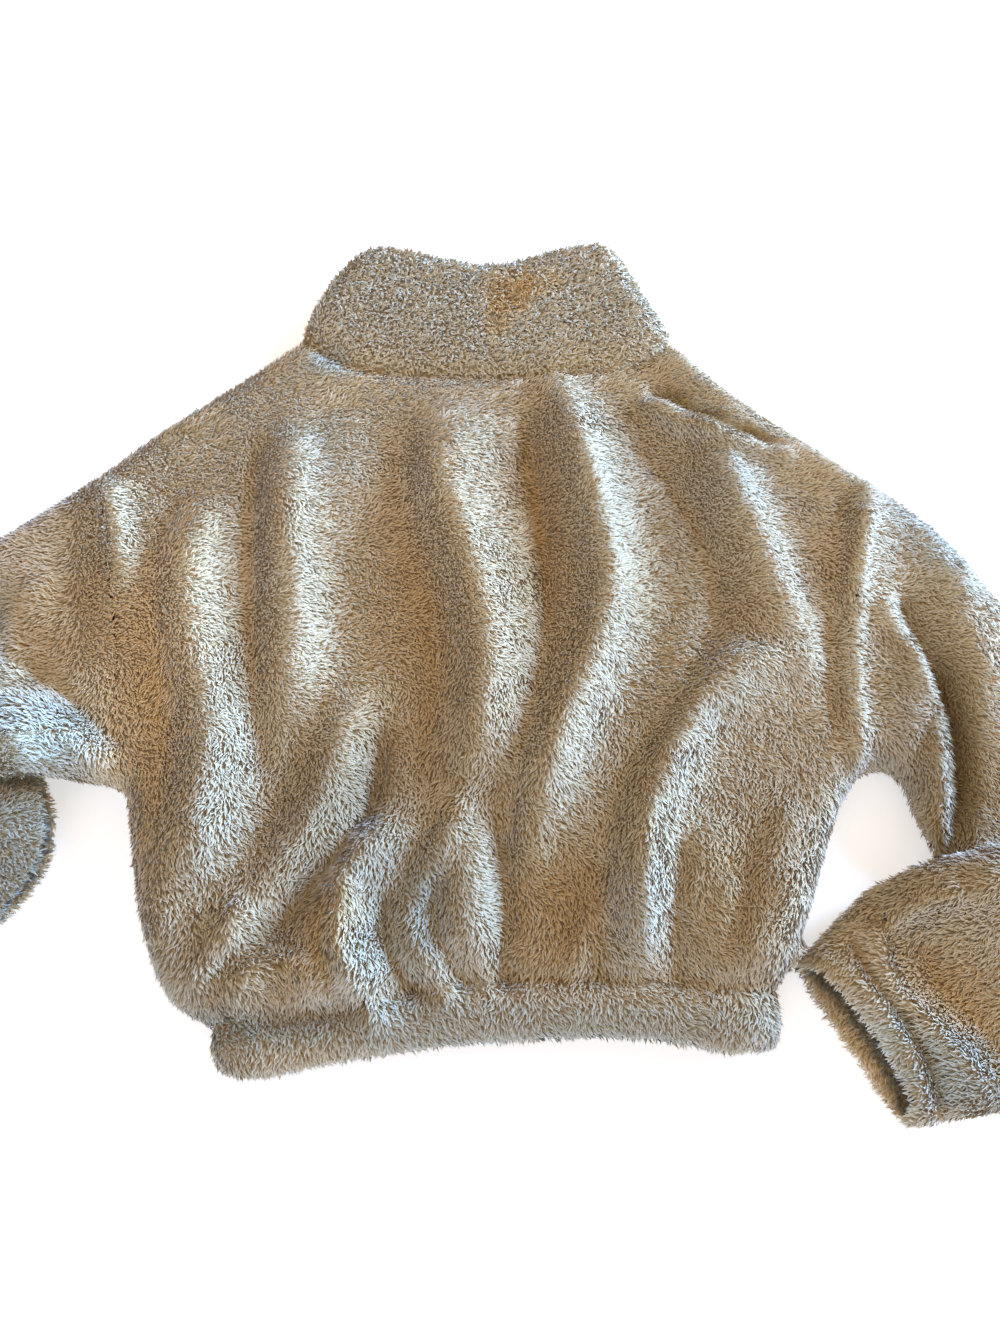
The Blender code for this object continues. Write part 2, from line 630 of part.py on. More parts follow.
    def rings(self, inner):
        none = lambda s: np.zeros(2)
        bow_out = lambda s: np.array((LEFT_CUFF_BOW * math.sin(math.pi * s), 0.0))
        ends = (self.armhole[0], self.armhole[-1])
        made = [self.first_ring(inner)]
        for i, (near, far, thick) in enumerate(self.upper):
            station = np.linalg.norm((np.array(near) + far) / 2 - (ends[0] + ends[1]) / 2)
            bow = self.armhole_bow(max(0.0, 0.66 - 0.33 * i)) if i < 2 else none
            made.append(self.ring((near, far), bow, inner, self.upper_height(station, thick)))
        elbow = made[-1]
        for step in (1, 2, 3, 4):
            made.append(self.turned(elbow, math.pi * step / 4))
        for i, (near, far, thick) in enumerate(self.fore):
            share = (i + 1) / len(self.fore)
            bow = bow_out if i == len(self.fore) - 1 and not self.over else none
            made.append(self.ring((near, far), bow, inner, self.fore_height(thick, share)))
        if self.over:
            made[-1] = self.slanted(made[-1], made[-2])
        return made

    def slanted(self, ring, before):
        """The cuff's last ring with the middle of its upper side drawn back up the sleeve."""
        last = len(ARMHOLE_STEPS) - 1
        ring = [np.array(p, float) for p in ring]
        for i in range(last + 1, len(ring)):
            back = (np.array(before[i]) - ring[i]) * (1, 1, 0)
            share = math.sin(math.pi * (i - last) / (len(ring) - last))
            ring[i] = ring[i] + back / np.linalg.norm(back) * RIGHT_CUFF_SLANT * share
        return [tuple(p) for p in ring]

    def first_ring(self, inner):
        """The section at the armhole, on the seam and at the body's own heights."""
        line = trimmed(self.armhole, WALL) if inner else self.armhole
        last = len(line) - 1
        up = [(*p, EDGE_LEVEL if i in (0, last) else upper_face(p, inner)) for i, p in enumerate(line)]
        low = [(*p, lower_face(p, inner)) for p in line[last - 1 : 0 : -1]]
        return up + low

    def build(self):
        outer, inner = self.rings(False), self.rings(True)
        cuff = len(outer) - 1 - CUFF_SECTIONS
        sleeve = [moved_apart(rows[: cuff + 1], SEAM_GAP) for rows in (outer, inner)]
        wall_solid("sleeve_" + self.side, *sleeve, closed=True)
        ends = [moved_apart(rows[cuff:], SEAM_GAP) for rows in (outer, inner)]
        wall_solid("cuff_" + self.side, *ends, closed=True)


def centre_on_origin():
    """Moves the jacket so that the middle of its base is the origin."""
    corners = np.array([v.co for o in bpy.data.objects for v in o.data.vertices])
    shift = -(corners.min(0) + corners.max(0)) / 2
    shift[2] = -corners[:, 2].min()
    for made in bpy.data.objects:
        for vertex in made.data.vertices:
            vertex.co = np.array(vertex.co) + shift
    print("moved by", [round(float(s) / MM, 3) for s in shift])


def main():
    clear_scene()
    build_back()
    build_front("left")
    build_front("right")
    build_collar()
    build_hem_band()
    Sleeve("left").build()
    Sleeve("right").build()
    centre_on_origin()


main()
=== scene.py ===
# %% [markdown]
# # A cropped teddy jacket, lying face down
#
# The jacket is sewn from long curly pile cloth, which is a knitted backing with thousands of small
# locks of fibre standing out of it. It lies on a pale surface with its back upwards. The solids
# already have its outline, its seams and its large folds. This notebook gives each of them a soft
# cloth shell, combs a coat of locks over it, and lights it from a low window beyond the right
# shoulder.

# %% Load the frame
import json
import math

import bmesh
import bpy
import numpy as np
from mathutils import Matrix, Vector, noise
from mathutils.bvhtree import BVHTree

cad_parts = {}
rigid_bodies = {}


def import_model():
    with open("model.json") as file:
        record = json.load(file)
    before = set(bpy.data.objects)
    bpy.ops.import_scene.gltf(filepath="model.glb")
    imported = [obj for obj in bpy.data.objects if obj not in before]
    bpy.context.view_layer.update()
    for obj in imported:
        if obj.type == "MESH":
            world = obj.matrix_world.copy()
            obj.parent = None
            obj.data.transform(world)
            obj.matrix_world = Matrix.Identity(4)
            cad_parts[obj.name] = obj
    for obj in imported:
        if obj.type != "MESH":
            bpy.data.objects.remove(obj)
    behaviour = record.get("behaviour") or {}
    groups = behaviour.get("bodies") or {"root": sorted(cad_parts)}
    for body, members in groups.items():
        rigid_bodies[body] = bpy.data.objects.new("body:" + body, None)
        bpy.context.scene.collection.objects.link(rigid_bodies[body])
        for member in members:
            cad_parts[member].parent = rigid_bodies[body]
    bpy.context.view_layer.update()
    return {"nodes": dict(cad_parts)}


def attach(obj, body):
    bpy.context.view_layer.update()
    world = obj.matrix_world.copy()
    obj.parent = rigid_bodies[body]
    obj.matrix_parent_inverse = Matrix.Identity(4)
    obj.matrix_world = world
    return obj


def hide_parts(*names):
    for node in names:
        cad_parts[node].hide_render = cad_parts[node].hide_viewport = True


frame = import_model()
MM = 0.001
print("nodes:", sorted(frame["nodes"]))

# %% [markdown]
# ## The camera
#
# The photograph was taken from the hem's side, 20 degrees off straight down and about 0.7 m away.
# The camera looks at one point of the surface under the jacket's back, and every place measured in
# the photograph is given in millimetres from that point, so it has a name.

# %% Camera at the photograph's angle
AIM = Vector((39.2, -28.0, 0.0)) * MM
TILT = math.radians(20.0)
DISTANCE = 0.72
SENSOR_WIDTH = 36.0
FOCAL_LENGTH = 27.2

camera = bpy.data.objects.new("camera", bpy.data.cameras.new("camera"))
bpy.context.scene.collection.objects.link(camera)
camera.location = AIM + Vector((0.0, -math.sin(TILT), math.cos(TILT))) * DISTANCE
camera.rotation_euler = (TILT, 0.0, 0.0)
camera.data.sensor_width = SENSOR_WIDTH
camera.data.lens = FOCAL_LENGTH
bpy.context.scene.camera = camera
print("camera at", [round(c, 3) for c in camera.location])

# %% [markdown]
# ## Helpers
#
# Every shader and every Geometry Nodes tree below is built from single nodes, so one small helper
# adds a node with its settings and links. Colours are written as the sRGB hex codes that a picture
# editor shows, and are turned to the linear numbers that Blender works in.


# %% One helper for nodes, one for colours
def node(tree, kind, inputs=None, **settings):
    """Adds one node, sets its options, and fills or links its inputs."""
    made = tree.nodes.new(kind)
    for key, value in settings.items():
        setattr(made, key, value)
    for key, value in (inputs or {}).items():
        if isinstance(value, bpy.types.NodeSocket):
            tree.links.new(value, made.inputs[key])
        else:
            made.inputs[key].default_value = value
    return made


def colour(code):
    """An sRGB hex code as linear red, green, blue and alpha."""
    parts = [int(code[i : i + 2], 16) / 255 for i in (0, 2, 4)]
    linear = [p / 12.92 if p <= 0.04045 else ((p + 0.055) / 1.055) ** 2.4 for p in parts]
    return (*linear, 1.0)


def shader_of(name):
    """A new material with its Principled shader."""
    made = bpy.data.materials.new(name)
    made.use_nodes = True
    return made, made.node_tree, made.node_tree.nodes["Principled BSDF"]


def smoothstep(value):
    """0 below 0, 1 above 1, and a soft curve between."""
    t = np.clip(value, 0.0, 1.0)
    return t * t * (3.0 - 2.0 * t)


# %% [markdown]
# ## What the cloth is made of
#
# Teddy cloth is brushed polyester: fine crimped fibres that cling together in locks. Each lock is
# dull and brown down at its root and pale and a little shiny at its tip. The root's brown is partly
# painted shade, for the little light that reaches down there. So the colour runs along each lock,
# from a value kept at its corners, and a few more values make it paler or darker from place to
# place: some at random, and some that paint light and shade. The backing is a flat brown knit that
# only shows where the pile parts.

# %% Teddy pile material
pile_cloth, tree, shader = shader_of("brushed_polyester_pile")
tip = node(tree, "ShaderNodeAttribute", attribute_name="tip")
shade = node(tree, "ShaderNodeAttribute", attribute_name="lock_shade")
place = node(tree, "ShaderNodeTexCoord")
# The ramp's dark root is partly painted shade, for the little light that reaches down into the
# pile.
root_to_tip = node(tree, "ShaderNodeValToRGB", {"Fac": tip.outputs["Fac"]})
ramp = root_to_tip.color_ramp
ramp.elements[0].position = 0.0
ramp.elements[0].color = colour("AF9D73")
ramp.elements[1].position = 1.0
ramp.elements[1].color = colour("F1EFE2")
ramp.elements.new(0.5).color = colour("D4C3A0")
# Fibres dyed in one bath still differ a little, lock by lock and over a hand's width.
dye = node(
    tree,
    "ShaderNodeTexNoise",
    {"Vector": place.outputs["Object"], "Scale": 14.0, "Detail": 2.0},
)
LOCK_BY_LOCK = {"To Min": 0.9, "To Max": 1.06}
OVER_A_HAND = {"To Min": 0.9, "To Max": 1.08}
lock_gain = node(tree, "ShaderNodeMapRange", {"Value": shade.outputs["Fac"], **LOCK_BY_LOCK})
dye_gain = node(tree, "ShaderNodeMapRange", {"Value": dye.outputs["Fac"], **OVER_A_HAND})
both = node(
    tree,
    "ShaderNodeMath",
    {0: lock_gain.outputs["Result"], 1: dye_gain.outputs["Result"]},
    operation="MULTIPLY",
)
# Painted light and shade, kept at each point, brightens and darkens the pile.
daylight = node(tree, "ShaderNodeAttribute", attribute_name="daylight")
lit = node(
    tree,
    "ShaderNodeMath",
    {0: both.outputs["Value"], 1: daylight.outputs["Fac"]},
    operation="MULTIPLY",
)
tone = node(
    tree,
    "ShaderNodeHueSaturation",
    {"Color": root_to_tip.outputs["Color"], "Value": lit.outputs["Value"]},
)
# A tint multiplies the colour. On the collar it is warmer and browner where the pile was brushed
# the other way, and paler where it stands up. Elsewhere it is painted light and shade: cool and
# pale on the flanks and edges that the window and doorway light, warm and brown on the flats and in
# the hollows, and grey painted shade inside a mouth.
tint_amount = node(tree, "ShaderNodeAttribute", attribute_name="nap_and_light_tint")
tint_place = node(
    tree,
    "ShaderNodeMapRange",
    {"Value": tint_amount.outputs["Fac"], "From Min": -1.0, "From Max": 1.0},
)
tint = node(tree, "ShaderNodeValToRGB", {"Fac": tint_place.outputs["Result"]})
tint.color_ramp.elements[0].position = 0.0
tint.color_ramp.elements[0].color = colour("D8E8FB")
tint.color_ramp.elements[1].position = 1.0
tint.color_ramp.elements[1].color = colour("E8D0A2")
tint.color_ramp.elements.new(0.5).color = colour("FBF4EA")
tinted = node(
    tree,
    "ShaderNodeMix",
    {"Factor": 1.0, "A": tone.outputs["Color"], "B": tint.outputs["Color"]},
    data_type="RGBA",
    blend_type="MULTIPLY",
)
tree.links.new(tinted.outputs["Result"], shader.inputs["Base Color"])
# Thousands of fibres scatter light as one soft surface, so a lock is shaded mostly by the way that
# the cloth under it faces. One that is turned right away from its cloth is shaded by its own side.
facing = node(tree, "ShaderNodeAttribute", attribute_name="cloth_normal")
own = node(tree, "ShaderNodeNewGeometry")
agree = node(
    tree,
    "ShaderNodeVectorMath",
    {0: facing.outputs["Vector"], 1: own.outputs["Normal"]},
    operation="DOT_PRODUCT",
)
PARTS_CLOTH = 6.0
FULL_AGREEMENT = 0.5
share = node(
    tree,
    "ShaderNodeMapRange",
    {"Value": agree.outputs["Value"], "From Max": FULL_AGREEMENT, "To Max": PARTS_CLOTH},
)
cloth_share = node(
    tree,
    "ShaderNodeVectorMath",
    {0: facing.outputs["Vector"], "Scale": share.outputs["Result"]},
    operation="SCALE",
)
pulled = node(
    tree,
    "ShaderNodeVectorMath",
    {0: cloth_share.outputs["Vector"], 1: own.outputs["Normal"]},
    operation="ADD",
)
soft = node(tree, "ShaderNodeVectorMath", {0: pulled.outputs["Vector"]}, operation="NORMALIZE")
tree.links.new(soft.outputs["Vector"], shader.inputs["Normal"])
pile_cloth.cycles.use_bump_map_correction = False
shader.inputs["Roughness"].default_value = 0.82
shader.inputs["Specular IOR Level"].default_value = 0.35
shader.inputs["Sheen Weight"].default_value = 0.8
shader.inputs["Sheen Roughness"].default_value = 0.5
shader.inputs["Sheen Tint"].default_value = colour("F2F6FA")

# %% Knitted backing material
backing, tree, shader = shader_of("knitted_polyester_backing")
place = node(tree, "ShaderNodeTexCoord")
# Tufts of flattened pile, about 3 mm across, drawn where no locks stand.
tufts = node(
    tree,
    "ShaderNodeTexNoise",
    {"Vector": place.outputs["Object"], "Scale": 330.0, "Detail": 4.0},
)
mottle = node(tree, "ShaderNodeValToRGB", {"Fac": tufts.outputs["Fac"]})
mottle.color_ramp.elements[0].position = 0.3
mottle.color_ramp.elements[0].color = colour("A18966")
mottle.color_ramp.elements[1].position = 0.72
mottle.color_ramp.elements[1].color = colour("D3C09C")
tree.links.new(mottle.outputs["Color"], shader.inputs["Base Color"])
bump = node(
    tree,
    "ShaderNodeBump",
    {"Height": tufts.outputs["Fac"], "Strength": 0.9, "Distance": 0.002},
)
tree.links.new(bump.outputs["Normal"], shader.inputs["Normal"])
shader.inputs["Roughness"].default_value = 0.95
shader.inputs["Sheen Weight"].default_value = 0.2
print("materials:", pile_cloth.name, backing.name)

# %% [markdown]
# ## Creases and seams
#
# The solids carry the large folds. The photograph also shows smaller ones: a crest and a steep
# crease along each long fold, gathers that rise from the elastic at the hem and the cuffs, and a
# soft groove where two pieces are sewn together. They could be sculpted by hand, but a table can be
# read and mended, so each is a line on the plan, in millimetres from the camera's aim, with how far
# the cloth rises or sinks along it and how wide it is. The hidden side gets a few of its own, where
# the cloth lifts a little off the surface.

# %% Tables of creases
CREASE_COLUMNS = ("line", "rise", "reach")
COLLAR_SEAM = (
    (-157, 268), (-141, 250), (-118, 236), (-77, 228), (0, 225), (69, 229), (102, 237), (122, 249),
    (137, 266),
)
HEM_SEAM = (
    (-181, -242), (-150, -240), (-105, -235), (-61, -223), (-20, -217), (60, -215), (120, -217),
    (175, -221),
)
LEFT_ARMHOLE = ((-251, -95), (-257, -50), (-262, -7), (-269, 38), (-280, 90), (-296, 146))
RIGHT_ARMHOLE = ((243, -84), (237, -52), (236, -8), (245, 38), (259, 85), (281, 134))
ARMHOLES = (LEFT_ARMHOLE, RIGHT_ARMHOLE)
RIGHT_CUFF_SEAM = ((236, -160), (267, -299))
UPPER_CREASES = (
    # Seams.
    (COLLAR_SEAM, -2.0, 8),
    (HEM_SEAM, -3.0, 9),
    (LEFT_ARMHOLE, -0.6, 8),
    (RIGHT_CUFF_SEAM, -0.8, 10),
    # The crests of the long folds, and the steep creases on their left.
    (((-210, 118), (-218, 60), (-207, 0), (-190, -60), (-192, -125), (-214, -172)), 2.0, 22),
    (((-236, 110), (-242, 60), (-232, 10), (-218, -50), (-217, -110), (-226, -150)), -1.5, 13),
    (((-154, 184), (-149, 80), (-141, 0), (-144, -66)), 1.2, 19),
    (((-118, 168), (-116, 130), (-124, 92)), 3.5, 25),
    (((-178, 150), (-176, 64), (-168, 4), (-160, -80)), -4.5, 14),
    (((-50, 132), (-32, 92), (-17, 38), (-10, -13), (-15, -69), (-26, -108)), 4.0, 18),
    (((-74, 150), (-62, 84), (-44, 30), (-38, -20), (-48, -76)), -2.5, 18),
    (
        ((40, 222), (55, 154), (66, 104), (73, 50), (67, 8), (50, -36), (32, -82), (18, -140)),
        4.5,
        16,
    ),
    (
        (
            (18, 180), (24, 130), (28, 86), (32, 31), (26, -18), (14, -70), (2, -120), (-1, -152),
            (2, -212),
        ),
        -5.5,
        13,
    ),
    (((150, 168), (172, 110), (192, 50), (204, -4)), 4.0, 20),
    (
        (
            (102, 158), (135, 109), (152, 61), (146, 16), (124, -28), (96, -66), (76, -102),
            (62, -150),
        ),
        -4.5,
        15,
    ),
    (((200, -14), (164, -16), (132, -40), (110, -80), (94, -125), (84, -190)), 4.5, 17),
    (((-97, -84), (-103, -120), (-120, -151), (-141, -171), (-164, -190)), 2.0, 14),
    (((-80, -62), (-85, -112), (-103, -146), (-118, -163), (-137, -183), (-170, -206)), -7.0, 10),
    # The right shoulder's crease: a sharp edge with a hollow above it.
    (((111, 193), (135, 174), (160, 163), (178, 156), (208, 151)), 5.5, 9),
    (((117, 206), (142, 190), (167, 177), (196, 163)), -8.0, 9),
    # The right armhole's ridge, with the sunk seam on its left.
    (((265, 122), (258, 95), (247, 56), (238, 4), (235, -39), (236, -80)), 5.5, 10),
    (((245, 112), (236, 60), (222, 4), (220, -46)), -3.5, 10),
    # The right upper arm.
    (((281, 35), (291, 5), (301, -19), (306, -49), (305, -80), (294, -138)), -10.0, 9),
    (((264, 27), (281, -6), (290, -38), (290, -80), (281, -126)), 4.0, 12),
    (((288, -45), (275, -77), (269, -97)), -4.0, 7),
    # The right forearm and its casing.
    (
        ((276, -168), (248, -176), (237, -188), (237, -206), (244, -225), (265, -248), (289, -278)),
        5.5,
        9,
    ),
    (((224, -196), (231, -217), (247, -241), (260, -263), (267, -288)), -6.0, 7),
    (((204, -205), (226, -225), (244, -253), (250, -282)), 4.0, 12),
    (((268, -196), (274, -222), (300, -250)), -4.0, 14),
    # The left sleeve.
    (((-283, 122), (-273, 90), (-264, 58)), 4.0, 11),
    (((-341, -6), (-318, -18), (-295, -35), (-256, -64)), -5.0, 9),
    (((-345, -36), (-307, -48), (-280, -66), (-262, -80)), 4.0, 13),
    # Gathers that rise from the hem's elastic.
    (((-186, -214), (-168, -196), (-162, -176)), 3.5, 10),
    (((-164, -222), (-145, -210), (-124, -204), (-110, -224)), 4.0, 9),
    (((-104, -170), (-108, -196), (-94, -226)), -4.0, 7),
    (((-92, -128), (-100, -157), (-99, -182), (-91, -209), (-77, -235)), 6.0, 13),
    (((-72, -168), (-76, -188), (-64, -208), (-54, -222)), -5.5, 7),
    (((-24, -112), (-43, -142), (-57, -170), (-54, -191), (-36, -222)), 5.5, 11),
    (((-34, -152), (-40, -170), (-37, -188), (-22, -218)), -4.0, 7),
    (((-14, -135), (-14, -170), (-10, -197), (-6, -220)), 1.5, 10),
    (((5, -134), (4, -169), (4, -216)), -3.5, 9),
    (((46, -210), (51, -192), (58, -176)), 4.0, 9),
    (((66, -146), (62, -176), (62, -212)), -3.5, 9),
    (((94, -120), (85, -160), (84, -208)), 4.5, 15),
    (((114, -136), (109, -170), (109, -210)), -5.0, 8),
    (((134, -214), (132, -190), (142, -160)), 3.0, 10),
    (((148, -212), (158, -170), (184, -118)), 4.0, 14),
)
UNDER_CREASES = (
    (((-150, -236), (-140, -190), (-120, -150)), 2.0, 12),
    (((-90, -226), (-84, -180), (-60, -120)), 1.6, 14),
    (((70, -214), (76, -170), (60, -110)), 2.0, 13),
    (((130, -216), (140, -170), (150, -120)), 1.6, 12),
    (((-230, 10), (-170, 40), (-110, 44)), 2.2, 16),
    (((225, 40), (170, 60), (110, 56)), 2.0, 16),
    (((-120, 200), (-90, 150), (-80, 90)), 1.8, 16),
    (((120, 196), (96, 150), (84, 100)), 1.8, 16),
)


# %% Lifting cloth along a crease
FAR_AWAY = 1e9
# A crease's height at its reach is e to the minus this, so about a tenth.
CREASE_FALLOFF = 2.2
# In millimetres above the surface: the upper layer's creases start at the first height and are
# full after the second, and the under layer's fade out below the third over the fourth.
UPPER_STARTS, UPPER_BLEND = 12.0, 8.0
LOWER_ENDS, LOWER_BLEND = 7.0, 3.0


def crease_table(rows):
    """Each row of a table with its columns named."""
    return [dict(zip(CREASE_COLUMNS, row)) for row in rows]


def line_distance(line, plan):
    """How far each plan point is from a line of straight stretches."""
    nearest = np.full(len(plan), FAR_AWAY)
    points = np.array(line, float)
    for start, step in zip(points, np.diff(points, axis=0)):
        offset = plan - start
        t = np.clip(offset @ step / (step @ step), 0, 1)
        nearest = np.minimum(nearest, np.linalg.norm(offset - t[:, None] * step, axis=1))
    return nearest


def crease_rise(table, plan):
    """How far each plan point is lifted by a table of creases, in millimetres."""
    total = np.zeros(len(plan))
    for crease in table:
        share = line_distance(crease["line"], plan) / crease["reach"]
        total += crease["rise"] * np.exp(-CREASE_FALLOFF * share**2)
    return total


def plan_of(spots):
    """Places on the plan, in millimetres from the camera's aim."""
    return spots[:, :2] / MM - np.array(AIM[:2]) / MM


upper_creases = crease_table(UPPER_CREASES)
under_creases = crease_table(UNDER_CREASES)


def creased(spots):
    """The same places, with the upper and lower layers sunk and lifted along the creases."""
    plan = plan_of(spots)
    high = smoothstep((spots[:, 2] / MM - UPPER_STARTS) / UPPER_BLEND)
    low = smoothstep((LOWER_ENDS - spots[:, 2] / MM) / LOWER_BLEND)
    spots[:, 2] += crease_rise(upper_creases, plan) * high * MM
    spots[:, 2] += crease_rise(under_creases, plan) * low * MM
    return spots


print("creases:", len(upper_creases), "above,", len(under_creases), "below")


# %% Reading and writing a mesh's points all at once
def vectors(points, field):
    """One vector of each point, such as co or normal, as rows of an array."""
    flat = np.empty(len(points) * 3, np.float32)
    points.foreach_get(field, flat)
    return flat.reshape(-1, 3).astype(float)


def coordinates(mesh):
    return vectors(mesh.vertices, "co")


def normals(mesh):
    return vectors(mesh.vertices, "normal")


def move_points(mesh, spots):
    mesh.vertices.foreach_set("co", spots.astype(np.float32).ravel())
    mesh.update()


def store(mesh, name, kind, values):
    """Keeps a value or a vector at each point of a mesh."""
    attribute = mesh.attributes.get(name) or mesh.attributes.new(name, kind, "POINT")
    field = "vector" if kind == "FLOAT_VECTOR" else "value"
    attribute.data.foreach_set(field, np.asarray(values, np.float32).ravel())


print("corners of the back's solid:", len(coordinates(frame["nodes"]["back_panel"].data)))

# %% [markdown]
# ## The cloth shells
#
# A solid's faces are flat triangles, and a real piece of cloth has none. Each solid is copied, its
# skin is laid again in small even squares, and the squares are smoothed. Then the skin is drawn in
# by the depth of the pile, which leaves the thin backing that the locks stand on. Where two pieces
# are sewn together the skin isn't drawn in, so that they meet.

# %% One soft shell for each sewn piece
SKIN_STEP = 4.5 * MM
# The open mouths are slits of 5 to 6 mm, which need smaller squares.
FINE_STEPS = dict.fromkeys(("collar", "hem_band", "cuff_left", "cuff_right"), 2.8 * MM)
PILE_DEPTH = 2.4 * MM
SHELL_SOFTENING = 5
# Near a seam the skin swells past its neighbour instead, so that no gap is left.
SEAM_REACH = 3.0 * MM
SEAM_OVERLAP = 1.0 * MM
FACE_TO_FACE = -0.5
NODES = (
    "back_panel",
    "front_left",
    "front_right",
    "collar",
    "hem_band",
    "sleeve_left",
    "sleeve_right",
    "cuff_left",
    "cuff_right",
)


def frozen(host, name):
    """The host's evaluated shape as a plain mesh object."""
    bpy.context.view_layer.update()
    graph = bpy.context.evaluated_depsgraph_get()
    made = bpy.data.objects.new(name, bpy.data.meshes.new_from_object(host.evaluated_get(graph)))
    bpy.context.scene.collection.objects.link(made)
    bpy.data.objects.remove(host)
    return made


def merged_copy(name):
    """A bmesh of one node, with the corners of its loose triangles joined."""
    work = bmesh.new()
    work.from_mesh(frame["nodes"][name].data)
    bmesh.ops.remove_doubles(work, verts=work.verts, dist=0.00001)
    work.normal_update()
    return work


def even_skin(mesh, name, rounds, step=SKIN_STEP):
    """Lays a mesh's skin again in small even squares, and smooths it."""
    host = bpy.data.objects.new("host", mesh)
    bpy.context.scene.collection.objects.link(host)
    remesh = host.modifiers.new("even skin", "REMESH")
    remesh.mode = "VOXEL"
    remesh.voxel_size = step
    smooth = host.modifiers.new("soften", "SMOOTH")
    smooth.factor = 0.5
    smooth.iterations = rounds
    return frozen(host, name)


solid_skins = {}
for name in NODES:
    corners = [v.co.copy() for v in frame["nodes"][name].data.vertices]
    faces = [tuple(p.vertices) for p in frame["nodes"][name].data.polygons]
    solid_skins[name] = BVHTree.FromPolygons(corners, faces)


def soft_shell(name):
    """The backing of one sewn piece, drawn in by the pile's depth and creased."""
    work = merged_copy(name)
    mesh = bpy.data.meshes.new("work")
    work.to_mesh(mesh)
    work.free()
    shell = even_skin(mesh, name + "_cloth", SHELL_SOFTENING, FINE_STEPS.get(name, SKIN_STEP))
    spots, out = coordinates(shell.data), normals(shell.data)
    others = [solid_skins[other] for other in NODES if other != name]
    shift = out * -PILE_DEPTH
    sewn = np.zeros(len(spots))
    for i, (spot, way) in enumerate(zip(spots, out)):
        for other in others:
            found = other.find_nearest(Vector(spot), 2 * SEAM_REACH)
            if found[0] is not None and Vector(way).dot(found[1]) < FACE_TO_FACE:
                near = 1.0 - max(0.0, found[3] - SEAM_REACH) / SEAM_REACH
                shift[i, :2] = out[i, :2] * (near * (PILE_DEPTH + SEAM_OVERLAP) - PILE_DEPTH)
                sewn[i] = near
    store(shell.data, "sewn", "FLOAT", sewn)
    store(shell.data, "full_form", "FLOAT_VECTOR", spots)
    move_points(shell.data, creased(spots + shift))
    shell.data.materials.clear()
    shell.data.materials.append(backing)
    shell.data.shade_smooth()
    return shell


shells = {name: soft_shell(name) for name in NODES}
print("shell faces:", {name: len(shell.data.polygons) for name, shell in shells.items()})

# %% [markdown]
# ## The ground that the pile grows from
#
# Pile hides most of a seam: it stands on both sides and leans across. So the locks are sown on one
# unbroken skin over the whole jacket. It is made as the shells are, from all the solids together,
# each swollen by a third of a millimetre first so that they join at their seams.

# %% One skin over the whole jacket
SWELL = 0.35 * MM
GROUND_SOFTENING = 4

whole = bmesh.new()
for name in NODES:
    work = merged_copy(name)
    for vertex in work.verts:
        vertex.co += vertex.normal * SWELL
    swollen = bpy.data.meshes.new("swollen")
    work.to_mesh(swollen)
    work.free()
    whole.from_mesh(swollen)
    bpy.data.meshes.remove(swollen)
together = bpy.data.meshes.new("together")
whole.to_mesh(together)
whole.free()
ground = even_skin(together, "ground", GROUND_SOFTENING)
full_spots, out = coordinates(ground.data), normals(ground.data)
store(ground.data, "full_form", "FLOAT_VECTOR", full_spots)
move_points(ground.data, creased(full_spots - out * PILE_DEPTH))
print("ground faces:", len(ground.data.polygons))

# %% [markdown]
# ## Which way the pile lies, and where it stands
#
# Pile has a nap. On the lower back it lies towards the hem, on the upper back it was brushed
# sideways, and on the sleeves it runs down the arm. Handling has turned it in patches too, which
# look paler or browner, and more patches paint light and shade on the pile. Each point of the
# ground keeps the way that the pile leans there, how long it is and how much of it there is, and
# how much painted light, shade and tint its pile gets. A hair particle system could be combed by
# hand, but values at points give the same coat each time.
#
# Inside the jacket nothing is seen, so a point that looks at another wall of the jacket gets no
# locks. The hem, the collar and the cuffs are open, so their mouths are furry for a few centimetres
# inside, and their locks stand on their own shells, which have that inside.

# %% Where the sleeves and the mouths run
# The sleeves' paths go from the armhole over the elbow's fold to the cuff, with heights.
LEFT_SLEEVE_PATH = (
    (-262, 20, 18), (-360, -8, 40), (-500, -90, 43), (-500, -100, 14), (-300, -130, 13),
)
RIGHT_SLEEVE_PATH = (
    (250, 20, 18),
    (330, -60, 15),
    (425, -170, 15),
    (425, -180, 43),
    (300, -215, 30),
    (215, -250, 14),
)
MOUTH_LINES = (
    (
        (-173, -271), (-150, -274), (-93, -263), (-31, -255), (50, -250), (100, -252), (140, -259),
        (172, -257),
    ),
    ((-121, 350), (-98, 356), (-65, 349), (-33, 340), (16, 342), (49, 353), (80, 359), (98, 353)),
    ((246, -303), (187, -206)),
    ((-322, -183), (-308, -86)),
)
OPEN_PIECES = ("collar", "hem_band", "cuff_left", "cuff_right")
FURRY_MOUTH = 34
print("mouths:", len(MOUTH_LINES))
